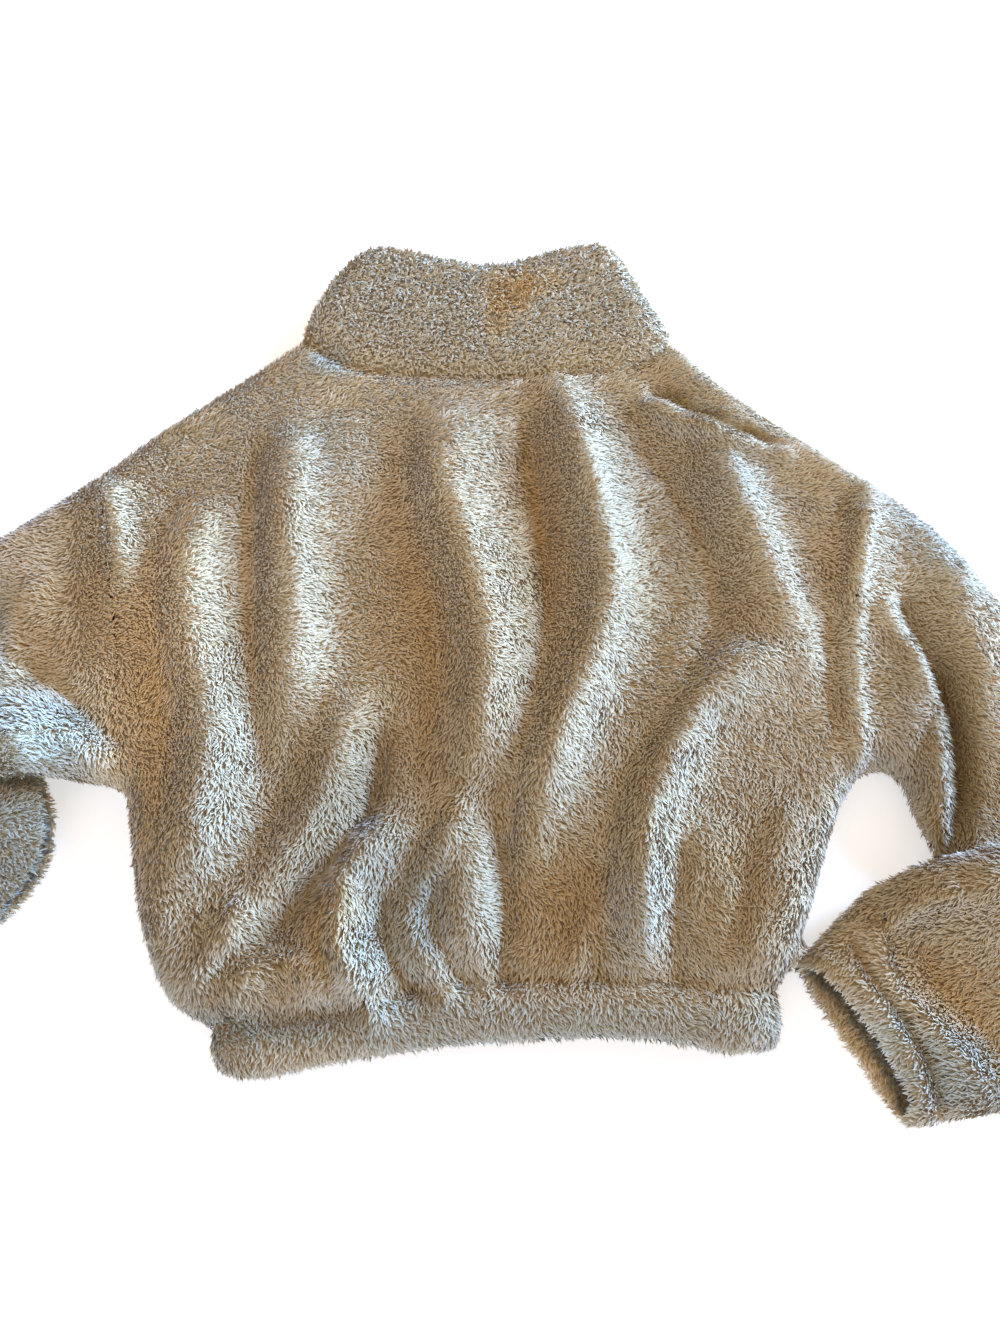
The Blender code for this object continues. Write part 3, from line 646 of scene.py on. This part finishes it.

# %% Brushed patches, and painted light and shade
# Centre and half size on the plan, how much browner (above 0) or cooler and greyer (below 0) the
# pile is tinted, and how sharp the patch's edge is. On the collar the pile was brushed the other
# way. The other patches are painted light and shade.
NAP_AND_LIGHT_PATCHES = (
    # Collar.
    (-5, 292, 150, 58, -0.5, 3.0),
    (6, 302, 21, 21, 1.25, 3.0),
    (26, 312, 22, 13, 1.0, 2.0),
    (-4, 276, 9, 20, 1.1, 3.0),
    (-135, 238, 17, 15, -1.0, 1.5),
    # Flats between the folds: painted warm shade, where little of the window's light falls.
    (-62, 12, 42, 96, 0.7, 1.5),
    (28, 96, 22, 84, 0.8, 1.5),
    (31, -172, 27, 42, 0.8, 2.0),
    (-104, -176, 18, 24, 0.9, 2.0),
    (-124, -208, 22, 12, 0.5, 2.0),
    (-240, -50, 28, 80, 0.7, 1.5),
    (-226, 84, 22, 46, 0.4, 1.5),
    (152, -150, 38, 46, 0.5, 1.5),
    (104, 40, 30, 60, 0.4, 1.5),
    (-290, 24, 40, 40, 0.6, 2.0),
    # The right shoulder's hollow, and the upper arm's crease: painted brown shade.
    (129, 203, 15, 10, 1.0, 2.0),
    (153, 188, 17, 9, 1.0, 2.0),
    (181, 171, 17, 8, 0.9, 2.0),
    (304, -60, 12, 62, 1.0, 2.0),
    # Bright flanks and outer edges: painted cool light from the window and the doorway.
    (-180, -100, 20, 90, -0.25, 1.5),
    (-215, -215, 34, 40, -0.5, 1.5),
    (-60, -176, 60, 50, -0.5, 2.0),
    (-92, -200, 17, 38, -0.1, 2.0),
    (-48, -172, 14, 34, -0.4, 2.0),
    (86, -176, 20, 34, -0.4, 2.0),
    (-126, 156, 26, 36, -0.4, 1.5),
    (166, 130, 34, 26, -0.3, 1.5),
    (322, 104, 44, 60, -0.8, 1.5),
    (0, -242, 210, 16, -0.6, 3.0),
    (-172, -252, 30, 26, -0.5, 1.5),
    # Left sleeve: painted cool light on its lower lobes.
    (-312, -66, 62, 30, -1.0, 3.0),
    (-316, -142, 70, 46, -1.0, 4.0),
    (-352, 14, 18, 44, -0.8, 2.0),
    # Right forearm and casing: browner on the casing's panel, painted cool light on its edges.
    (282, -214, 26, 34, 0.5, 3.0),
    (256, -264, 32, 30, -0.9, 1.5),
    (232, -236, 20, 24, -0.4, 1.5),
    (284, -272, 28, 22, -0.7, 1.5),
)
# Places that the light reaches more (above 0) or less (below 0): centre, half size, how much.
LIGHT_AND_SHADE = (
    (-240, -30, 34, 90, 0.3),
    (-312, -80, 66, 50, 0.2),
    (250, -262, 60, 40, 0.35),
    (-110, -120, 46, 50, -0.2),
    (120, 60, 90, 150, -0.14),
    (286, -60, 40, 90, -0.2),
    (304, -66, 13, 70, -0.4),
    (262, -206, 60, 46, 0.15),
    (-5, 292, 150, 64, 0.14),
    (129, 203, 15, 10, -0.3),
    (153, 188, 17, 9, -0.35),
    (181, 171, 17, 8, -0.3),
)
print("patches:", len(NAP_AND_LIGHT_PATCHES), "places lit otherwise:", len(LIGHT_AND_SHADE))


def ellipse(plan, x, y, wide, deep):
    """0 at the middle of an ellipse on the plan, and 1 on its edge."""
    return ((plan[:, 0] - x) / wide) ** 2 + ((plan[:, 1] - y) / deep) ** 2


# %% The jacket's broad arch
HALF_BACK = 300.0


def broad_tilt(plan, out):
    """How far the whole back leans at each point, without its folds: a cubic fit."""
    x, y = plan[:, 0] / HALF_BACK, plan[:, 1] / HALF_BACK
    terms = np.stack([x**i * y**j for i in range(4) for j in range(4 - i)], axis=1)
    return terms @ np.linalg.lstsq(terms, out[:, :2], rcond=None)[0]


print("half the back:", HALF_BACK, "mm")

# %% What a point of the cloth sees
JUST_OFF = 2 * MM
ROOM_REACH = 0.5
NEAR_A_NODE = 6 * MM

every_wall = bmesh.new()
for node_object in frame["nodes"].values():
    every_wall.from_mesh(node_object.data)
walls = BVHTree.FromBMesh(every_wall)
every_wall.free()


def sees_out(spot, way):
    """Whether a point looks past the whole jacket in one direction."""
    return walls.ray_cast(spot + way * JUST_OFF, way, ROOM_REACH)[0] is None


def nearest_node(spot):
    """The name of the sewn piece that a point of the ground belongs to."""
    best, owner = 1.0, NODES[0]
    for name, skin in solid_skins.items():
        found = skin.find_nearest(spot, NEAR_A_NODE)
        if found[0] is not None and found[3] < best:
            best, owner = found[3], name
    return owner


def along_path(path, spots):
    """The direction of the nearest stretch of a path, for each point."""
    path = np.array(path, float) * MM + np.array(AIM)
    best = np.full(len(spots), FAR_AWAY)
    way = np.zeros((len(spots), 3))
    for a, b in zip(path, path[1:]):
        d = b - a
        t = np.clip((spots - a) @ d / (d @ d), 0, 1)
        far = np.linalg.norm(spots - a - t[:, None] * d, axis=1)
        closer = far < best
        best[closer] = far[closer]
        way[closer] = d / np.linalg.norm(d)
    return way


print("walls to see past:", len(NODES))

# %% The way the pile leans
# The nap turns from the upper back's to the lower back's way between these places up the plan.
NAP_TURNS_FROM, NAP_TURNS_OVER = 30.0, 160.0
NAP_LOW = (0.15, -1.0, 0.0)
NAP_HIGH = (0.95, -0.4, 0.0)
SLEEVE_TURNS_OVER = 45.0
# Each lean strays by an angle in radians from two noises, with this many waves to a metre.
STRAY_WIDE, WAVES_WIDE = 1.1, 16.0
STRAY_CLOSE, WAVES_CLOSE = 1.2, 60.0
NOISE_SHIFT = Vector((7, 3, 1))
SHORTEST_LEAN = 0.2
SLEEVES = (
    (("sleeve_left", "cuff_left"), LEFT_SLEEVE_PATH, LEFT_ARMHOLE),
    (("sleeve_right", "cuff_right"), RIGHT_SLEEVE_PATH, RIGHT_ARMHOLE),
)


def lower_back(plan):
    """0 on the upper back and 1 on the lower back, where the pile is combed down."""
    return smoothstep((NAP_TURNS_FROM - plan[:, 1]) / NAP_TURNS_OVER)[:, None]


def brushed_way(spots, owners):
    """The way that the cloth was brushed at each point, before it strays."""
    plan = plan_of(spots)
    low = lower_back(plan)
    way = low * NAP_LOW + (1.0 - low) * NAP_HIGH
    for pieces, path, armhole in SLEEVES:
        arm = np.isin(owners, pieces)
        turned = smoothstep(line_distance(armhole, plan[arm]) / SLEEVE_TURNS_OVER)[:, None]
        way[arm] = turned * along_path(path, spots[arm]) + (1.0 - turned) * way[arm]
    return way


def strayed_lean(here, across, lean):
    """The lean laid on the cloth, and turned a little by smooth noise."""
    angle = STRAY_WIDE * noise.noise(here * WAVES_WIDE)
    angle += STRAY_CLOSE * noise.noise(here * WAVES_CLOSE + NOISE_SHIFT)
    flat = lean - across * lean.dot(across)
    side = across.cross(flat)
    return flat * math.cos(angle) + side * math.sin(angle)


print("the nap turns over", NAP_TURNS_OVER, "mm of the back")

# %% How much pile stands at a point
UNDERSIDE_COVER = 0.28
MOUTH_COVER = 0.6
# A point that is sewn to its neighbour by more than this share gets no locks.
SEWN_SHUT = 0.3
# A point whose normal rises above the first value can look up, and one below the second lies under
# the jacket.
LOOKS_UP, LOOKS_DOWN = -0.2, -0.6


def pile_cover(here, across, sewn, to_mouth):
    """How much pile stands at one point, and whether it is inside a mouth."""
    upright = Vector((0, 0, 1 if across.z > LOOKS_UP else -1))
    if sewn > SEWN_SHUT:
        return 0.0, False
    if sees_out(here, across) or sees_out(here, upright):
        return UNDERSIDE_COVER if across.z < LOOKS_DOWN else 1.0, False
    if to_mouth < FURRY_MOUTH:
        return MOUTH_COVER, True
    return 0.0, False


print("a mouth is furry for", FURRY_MOUTH, "mm")

# %% How the pile is shaded
# Pile parts along a crest and closes in a hollow, so a fold looks bolder than the cloth's own
# form, and the back's broad arch looks flatter.
RELIEF = 1.7
ARCH_KEPT = 0.35
ARMHOLE_BLEND = 40.0
STEEPEST, STEEP_BLEND = 0.3, 0.4
FACES_UP = 0.1
# The upper layer starts this high above the surface.
UPPER_LAYER = 9 * MM
# Painted shade darkens the pile towards the hem, and darkens it more inside a mouth.
SHADE_TOWARDS_HEM = 0.16
SHADE_INSIDE_A_MOUTH = 0.5
LIGHT_EDGE = 1.5


def shading_normals(spots, out, owners):
    """The cloth's normals with bolder folds and a flatter arch."""
    plan = plan_of(spots)
    bold = out * np.where(out[:, 2:] > FACES_UP, (RELIEF, RELIEF, 1.0), 1.0)
    on_back = (owners == "back_panel") & (out[:, 2] > FACES_UP) & (spots[:, 2] > UPPER_LAYER)
    if on_back.any():
        arch = broad_tilt(plan[on_back], out[on_back])
        near_seam = np.minimum(*[line_distance(line, plan[on_back]) for line in ARMHOLES])
        flatter = smoothstep(near_seam / ARMHOLE_BLEND)
        flatter *= smoothstep((out[on_back, 2] - STEEPEST) / STEEP_BLEND)
        bold[on_back, :2] -= (RELIEF - ARCH_KEPT) * arch * flatter[:, None]
    return bold / np.linalg.norm(bold, axis=1)[:, None]


def light_on(plan, inside):
    """How much painted light and painted shade brighten and darken the pile at each point."""
    daylight = np.where(inside, SHADE_INSIDE_A_MOUTH, 1.0)
    daylight *= 1.0 - SHADE_TOWARDS_HEM * lower_back(plan)[:, 0]
    for x, y, wide, deep, gain in LIGHT_AND_SHADE:
        daylight *= 1.0 + gain * np.exp(-ellipse(plan, x, y, wide, deep) ** LIGHT_EDGE)
    return daylight


def nap_and_light_tint_at(plan, inside, upper):
    """How brown (up to 1) or how grey (down to -1) the pile is tinted at each point, for brushed
    nap and for painted light and shade.
    """
    # Inside a mouth the tint is grey painted shade.
    nap_and_light_tint = np.where(inside, -1.0, 0.0)
    # The collar's patches tint for brushed nap, and the others paint light and shade.
    for x, y, wide, deep, turned, edge in NAP_AND_LIGHT_PATCHES:
        nap_and_light_tint += turned * np.exp(-ellipse(plan, x, y, wide, deep) ** edge) * upper
    return np.clip(nap_and_light_tint, -1, 1)


print("folds look", RELIEF, "times as bold")

# %% Laying the nap
# A lock's length as a share of the tree's: longer on the lower back, shorter where the cloth
# stands on edge, and clipped short on the collar.
LENGTH_HIGH, LENGTH_MORE_LOW = 0.8, 0.1
LENGTH_ON_EDGE, LENGTH_MORE_FLAT, FLAT_FROM = 0.65, 0.35, 0.5
LENGTH_COLLAR = 0.74


def lay_nap(mesh, owners):
    """Stores the lean, length and cover of the pile at each point, and its tint and painted light
    and shade.
    """
    spots, out = coordinates(mesh), normals(mesh)
    full = vectors(mesh.attributes["full_form"].data, "vector")
    plan = plan_of(spots)
    to_mouth = np.full(len(spots), FAR_AWAY)
    for line in MOUTH_LINES:
        to_mouth = np.minimum(to_mouth, line_distance(line, plan))
    sewn = np.zeros(len(spots), np.float32)
    if "sewn" in mesh.attributes:
        mesh.attributes["sewn"].data.foreach_get("value", sewn)
    way = brushed_way(spots, owners)
    nap = np.empty_like(way)
    cover = np.zeros(len(spots))
    inside = np.zeros(len(spots), bool)
    for i, (spot, across, lean) in enumerate(zip(full, out, way)):
        here, across = Vector(spot), Vector(across)
        nap[i] = strayed_lean(here, across, Vector(lean))
        cover[i], inside[i] = pile_cover(here, across, sewn[i], to_mouth[i])
    nap /= np.maximum(np.linalg.norm(nap, axis=1)[:, None], SHORTEST_LEAN)
    length = LENGTH_HIGH + LENGTH_MORE_LOW * lower_back(plan)[:, 0]
    length *= LENGTH_ON_EDGE + LENGTH_MORE_FLAT * smoothstep(np.abs(out[:, 2]) / FLAT_FROM)
    length[owners == "collar"] = LENGTH_COLLAR
    store(mesh, "nap", "FLOAT_VECTOR", nap)
    store(mesh, "ground_normal", "FLOAT_VECTOR", shading_normals(spots, out, owners))
    store(mesh, "nap_and_light_tint", "FLOAT", nap_and_light_tint_at(plan, inside, spots[:, 2] > UPPER_LAYER))
    store(mesh, "daylight", "FLOAT", light_on(plan, inside))
    store(mesh, "length", "FLOAT", length)
    store(mesh, "cover", "FLOAT", cover)
    return cover


ground_owners = np.array([nearest_node(Vector(spot)) for spot in coordinates(ground.data)])
covers = {"ground": lay_nap(ground.data, ground_owners)}
for name in OPEN_PIECES:
    skin = shells[name].data
    covers[name] = lay_nap(skin, np.array([name] * len(skin.vertices)))
print("share with pile:", {name: round(float((c > 0).mean()), 2) for name, c in covers.items()})

# %% [markdown]
# ## One lock of pile
#
# A lock is a pinch of crimped fibres, about 1.3 mm wide and 4 to 7 mm long, that swells above its
# root and closes to a bent tip. It could be a tube of fibres, but there are so many of them that
# each is only three triangles: a curved blade with its face outwards. Four blades with different
# bends look unordered enough. Their sizes are shares of a lock's width and length.

# %% Four locks
lock_shapes = bpy.data.collections.new("locks")
bpy.context.scene.collection.children.link(lock_shapes)
HALF_ROOT, HALF_SWELL, ROOT_DEPTH = 0.35, 0.5, -0.1
LOCK_COLUMNS = ("swell_height", "swell_side", "swell_out", "tip_side", "tip_out")
LOCKS = (
    (0.42, 0.15, 0.5, 0.9, -0.2),
    (0.5, -0.3, 0.7, -0.9, 0.1),
    (0.46, 0.3, 0.4, -0.4, -0.5),
    (0.55, -0.1, 0.6, 0.5, 0.3),
)

for number, row in enumerate(LOCKS):
    lock = dict(zip(LOCK_COLUMNS, row))
    middle, rise = lock["swell_side"], lock["swell_height"]
    corners = [
        (-HALF_ROOT, 0.0, ROOT_DEPTH),
        (HALF_ROOT, 0.0, ROOT_DEPTH),
        (middle + HALF_SWELL, lock["swell_out"], rise),
        (middle - HALF_SWELL, lock["swell_out"], rise),
        (lock["tip_side"], lock["tip_out"], 1.0),
    ]
    mesh = bpy.data.meshes.new(f"lock_{number}")
    mesh.from_pydata(corners, [], [(1, 0, 3), (1, 3, 2), (2, 3, 4)])
    store(mesh, "tip", "FLOAT", [0.0, 0.0, rise, rise, 1.0])
    mesh.shade_smooth()
    lock_shapes.objects.link(bpy.data.objects.new(f"lock_{number}", mesh))

# %% [markdown]
# ## Sowing the locks
#
# Geometry Nodes scatter the locks over a skin, never closer than a set spacing, stand each one up
# along the skin's normal, lean it along the nap, and turn and size it a little at random. The
# spacing, length, width and lean are inputs of the tree, so the collar, whose pile curls more, can
# have its own.

# %% The tree that sows locks
DENSEST = 2000000.0
SPIN = 0.7
WIDTH_RANGE = {2: 0.75, 3: 1.25, "Seed": 12}
LENGTH_RANGE = {2: 0.7, 3: 1.15, "Seed": 13}


def sowing_tree():
    """The Geometry Nodes tree that grows locks on a mesh with a nap."""
    tree = bpy.data.node_groups.new("sow locks", "GeometryNodeTree")
    sockets = (
        ("Geometry", "NodeSocketGeometry", None),
        ("Spacing", "NodeSocketFloat", 1.15 * MM),
        ("Length", "NodeSocketFloat", 7.0 * MM),
        ("Width", "NodeSocketFloat", 1.3 * MM),
        ("Lean", "NodeSocketFloat", 1.5),
        ("Unruliness", "NodeSocketFloat", 0.55),
        ("Seed", "NodeSocketInt", 1),
    )
    for name, kind, value in sockets:
        socket = tree.interface.new_socket(name, in_out="INPUT", socket_type=kind)
        if value is not None:
            socket.default_value = value
    tree.interface.new_socket("Geometry", in_out="OUTPUT", socket_type="NodeSocketGeometry")
    given = node(tree, "NodeGroupInput").outputs
    cover = node(tree, "GeometryNodeInputNamedAttribute", {"Name": "cover"}, data_type="FLOAT")
    way = node(tree, "GeometryNodeInputNamedAttribute", {"Name": "nap"}, data_type="FLOAT_VECTOR")
    long = node(tree, "GeometryNodeInputNamedAttribute", {"Name": "length"}, data_type="FLOAT")
    scatter = node(
        tree,
        "GeometryNodeDistributePointsOnFaces",
        {
            "Mesh": given["Geometry"],
            "Distance Min": given["Spacing"],
            "Density Max": DENSEST,
            "Density Factor": cover.outputs["Attribute"],
            "Seed": given["Seed"],
        },
        distribute_method="POISSON",
    )
    leaning = node(
        tree,
        "ShaderNodeVectorMath",
        {0: way.outputs["Attribute"], "Scale": given["Lean"]},
        operation="SCALE",
    )
    loose = node(
        tree,
        "FunctionNodeRandomValue",
        {"Min": (-1, -1, -1), "Max": (1, 1, 1), "Seed": given["Seed"]},
        data_type="FLOAT_VECTOR",
    )
    strayed = node(
        tree,
        "ShaderNodeVectorMath",
        {0: loose.outputs["Value"], "Scale": given["Unruliness"]},
        operation="SCALE",
    )
    up_and_over = node(
        tree,
        "ShaderNodeVectorMath",
        {0: scatter.outputs["Normal"], 1: leaning.outputs["Vector"]},
        operation="ADD",
    )
    aim = node(
        tree,
        "ShaderNodeVectorMath",
        {0: up_and_over.outputs["Vector"], 1: strayed.outputs["Vector"]},
        operation="ADD",
    )
    stand = node(
        tree,
        "FunctionNodeAlignRotationToVector",
        {"Vector": aim.outputs["Vector"]},
        axis="Z",
    )
    outwards = node(
        tree,
        "FunctionNodeAlignRotationToVector",
        {"Rotation": stand.outputs["Rotation"], "Vector": scatter.outputs["Normal"]},
        axis="Y",
        pivot_axis="Z",
    )
    spin = node(
        tree,
        "FunctionNodeRandomValue",
        {2: -SPIN, 3: SPIN, "Seed": 11},
        data_type="FLOAT",
    )
    about = node(
        tree,
        "FunctionNodeAxisAngleToRotation",
        {"Axis": (0, 0, 1), "Angle": spin.outputs[1]},
    )
    turned = node(
        tree,
        "FunctionNodeRotateRotation",
        {"Rotation": outwards.outputs["Rotation"], "Rotate By": about.outputs["Rotation"]},
        rotation_space="LOCAL",
    )
    thick = node(tree, "FunctionNodeRandomValue", WIDTH_RANGE, data_type="FLOAT")
    tall = node(tree, "FunctionNodeRandomValue", LENGTH_RANGE, data_type="FLOAT")
    width = node(
        tree,
        "ShaderNodeMath",
        {0: given["Width"], 1: thick.outputs[1]},
        operation="MULTIPLY",
    )
    height = node(
        tree,
        "ShaderNodeMath",
        {0: given["Length"], 1: tall.outputs[1]},
        operation="MULTIPLY",
    )
    here = node(
        tree,
        "ShaderNodeMath",
        {0: height.outputs["Value"], 1: long.outputs["Attribute"]},
        operation="MULTIPLY",
    )
    size = node(
        tree,
        "ShaderNodeCombineXYZ",
        {"X": width.outputs["Value"], "Y": width.outputs["Value"], "Z": here.outputs["Value"]},
    )
    locks = node(
        tree,
        "GeometryNodeCollectionInfo",
        {"Collection": lock_shapes, "Separate Children": True, "Reset Children": True},
    )
    planted = node(
        tree,
        "GeometryNodeInstanceOnPoints",
        {
            "Points": scatter.outputs["Points"],
            "Instance": locks.outputs["Instances"],
            "Pick Instance": True,
            "Rotation": turned.outputs["Rotation"],
            "Scale": size.outputs["Vector"],
        },
    )
    hue = node(tree, "FunctionNodeRandomValue", {2: 0.0, 3: 1.0, "Seed": 14}, data_type="FLOAT")
    marked = node(
        tree,
        "GeometryNodeStoreNamedAttribute",
        {"Geometry": planted.outputs["Instances"], "Name": "lock_shade", "Value": hue.outputs[1]},
        data_type="FLOAT",
        domain="INSTANCE",
    )
    facing = node(
        tree,
        "GeometryNodeInputNamedAttribute",
        {"Name": "ground_normal"},
        data_type="FLOAT_VECTOR",
    )
    faced = node(
        tree,
        "GeometryNodeStoreNamedAttribute",
        {
            "Geometry": marked.outputs["Geometry"],
            "Name": "cloth_normal",
            "Value": facing.outputs["Attribute"],
        },
        data_type="FLOAT_VECTOR",
        domain="INSTANCE",
    )
    real = node(tree, "GeometryNodeRealizeInstances", {"Geometry": faced.outputs["Geometry"]})
    finished = node(
        tree,
        "GeometryNodeSetMaterial",
        {"Geometry": real.outputs["Geometry"], "Material": pile_cloth},
    )
    node(tree, "NodeGroupOutput", {"Geometry": finished.outputs["Geometry"]})
    return tree


sow = sowing_tree()
PRESSED = 0.1 * MM


def sow_locks(name, mesh, cover, **sizes):
    """Grows one piece of pile on a mesh, as thick as the cover given for each of its points."""
    host = bpy.data.objects.new("host", mesh.copy())
    bpy.context.scene.collection.objects.link(host)
    store(host.data, "cover", "FLOAT", cover)
    modifier = host.modifiers.new("locks", "NODES")
    modifier.node_group = sow
    for item in sow.interface.items_tree:
        if item.in_out == "INPUT" and item.name in sizes:
            modifier[item.identifier] = sizes[item.name]
    pile = frozen(host, name)
    # Locks under the jacket are pressed flat by the surface that it lies on.
    tips = coordinates(pile.data)
    tips[:, 2] = np.maximum(tips[:, 2], PRESSED)
    move_points(pile.data, tips)
    print(name, "triangles:", len(pile.data.polygons))
    return pile


# %% Pile on every piece
# The collar's pile stands up and curls, in fewer and wider locks.
COLLAR_LOCKS = {
    "Unruliness": 0.9,
    "Lean": 0.9,
    "Width": 2.0 * MM,
    "Length": 8.0 * MM,
    "Spacing": 1.4 * MM,
}
# The back is sown in two halves, so that neither piece of pile is too large.
left_half = coordinates(ground.data)[:, 0] < AIM[0]
pile = {name: [] for name in NODES}
seed = 0
for name in NODES:
    if name in OPEN_PIECES:
        parts = {name: (shells[name].data, covers[name])}
    elif name == "back_panel":
        here = covers["ground"] * (ground_owners == name)
        parts = {
            name + "_left": (ground.data, here * left_half),
            name + "_right": (ground.data, here * ~left_half),
        }
    else:
        parts = {name: (ground.data, covers["ground"] * (ground_owners == name))}
    for part, (mesh, cover) in parts.items():
        seed += 1
        sizes = {"Seed": seed}
        if name == "collar":
            sizes.update(COLLAR_LOCKS)
        pile[name].append(sow_locks("pile_" + part, mesh, cover, **sizes))
bpy.data.objects.remove(ground)
for shape in list(lock_shapes.objects):
    bpy.data.objects.remove(shape)
bpy.data.collections.remove(lock_shapes)

# %% [markdown]
# ## Each piece on the jacket's body
#
# Every piece rides on the jacket's one body, and each shell takes its solid's place. The area of
# one layer of each shell's cloth is measured too.

# %% Sheets of cloth
# The back lies on the fronts, and every other piece lies on the floor.
for name, shell in shells.items():
    for piece in (shell, *pile[name]):
        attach(piece, "root")
    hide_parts(name)
    work = bmesh.new()
    work.from_mesh(shell.data)
    one_layer = sum(face.calc_area() for face in work.faces) / 2
    work.free()

# %% [markdown]
# ## Floor and light
#
# The photograph's background is plain white, so the jacket lies on an opal light table that glows
# a little and shows almost no shadow. A cool, low window on the right and a little behind the
# collar lights one flank of every fold, a doorway on the hem's side adds a touch of the same, and
# the room fills the rest with a dim warm light.

# %% Floor
floor_paint, tree, shader = shader_of("opal_white_light_table")
shader.inputs["Base Color"].default_value = colour("FBFBFB")
shader.inputs["Emission Color"].default_value = colour("EAF4FF")
shader.inputs["Emission Strength"].default_value = 0.5
shader.inputs["Roughness"].default_value = 0.9
HALF_FLOOR = 3
floor_mesh = bpy.data.meshes.new("floor")
FLOOR_SIDES = ((-1, -1), (1, -1), (1, 1), (-1, 1))
floor_corners = [(x * HALF_FLOOR, y * HALF_FLOOR, 0) for x, y in FLOOR_SIDES]
floor_mesh.from_pydata(floor_corners, [], [(0, 1, 2, 3)])
floor_mesh.materials.append(floor_paint)
floor = bpy.data.objects.new("floor", floor_mesh)
bpy.context.scene.collection.objects.link(floor)
print("floor:", 2 * HALF_FLOOR, "m wide")


# %% Window, doorway and room
def sunlight(name, bearing, height, strength, tint, softness):
    """A distant light. bearing is its compass direction from +Y towards +X, in degrees."""
    light = bpy.data.lights.new(name, "SUN")
    light.energy = strength
    light.color = colour(tint)[:3]
    light.angle = math.radians(softness)
    lamp = bpy.data.objects.new(name, light)
    bpy.context.scene.collection.objects.link(lamp)
    a, b = math.radians(bearing), math.radians(height)
    towards = Vector((math.sin(a) * math.cos(b), math.cos(a) * math.cos(b), math.sin(b)))
    lamp.rotation_euler = towards.to_track_quat("Z", "Y").to_euler()


sunlight("window", 66.0, 15.0, 11.9, "A0CBFF", 34.0)
sunlight("doorway", 198.0, 10.0, 2.0, "98C6FF", 40.0)
bpy.context.scene.view_settings.view_transform = "Standard"
room = bpy.data.worlds.new("room")
bpy.context.scene.world = room
room.use_nodes = True
tree = room.node_tree
direction = node(tree, "ShaderNodeTexCoord")
parts = node(tree, "ShaderNodeSeparateXYZ", {"Vector": direction.outputs["Generated"]})
walls_to_ceiling = node(tree, "ShaderNodeValToRGB", {"Fac": parts.outputs["Z"]})
walls_to_ceiling.color_ramp.elements[0].position = 0.05
walls_to_ceiling.color_ramp.elements[0].color = colour("EFEAE0")
walls_to_ceiling.color_ramp.elements[1].position = 0.7
walls_to_ceiling.color_ramp.elements[1].color = colour("FFE4C6")
tree.links.new(walls_to_ceiling.outputs["Color"], tree.nodes["Background"].inputs["Color"])
tree.nodes["Background"].inputs["Strength"].default_value = 0.82
print("lights:", len(bpy.data.lights))
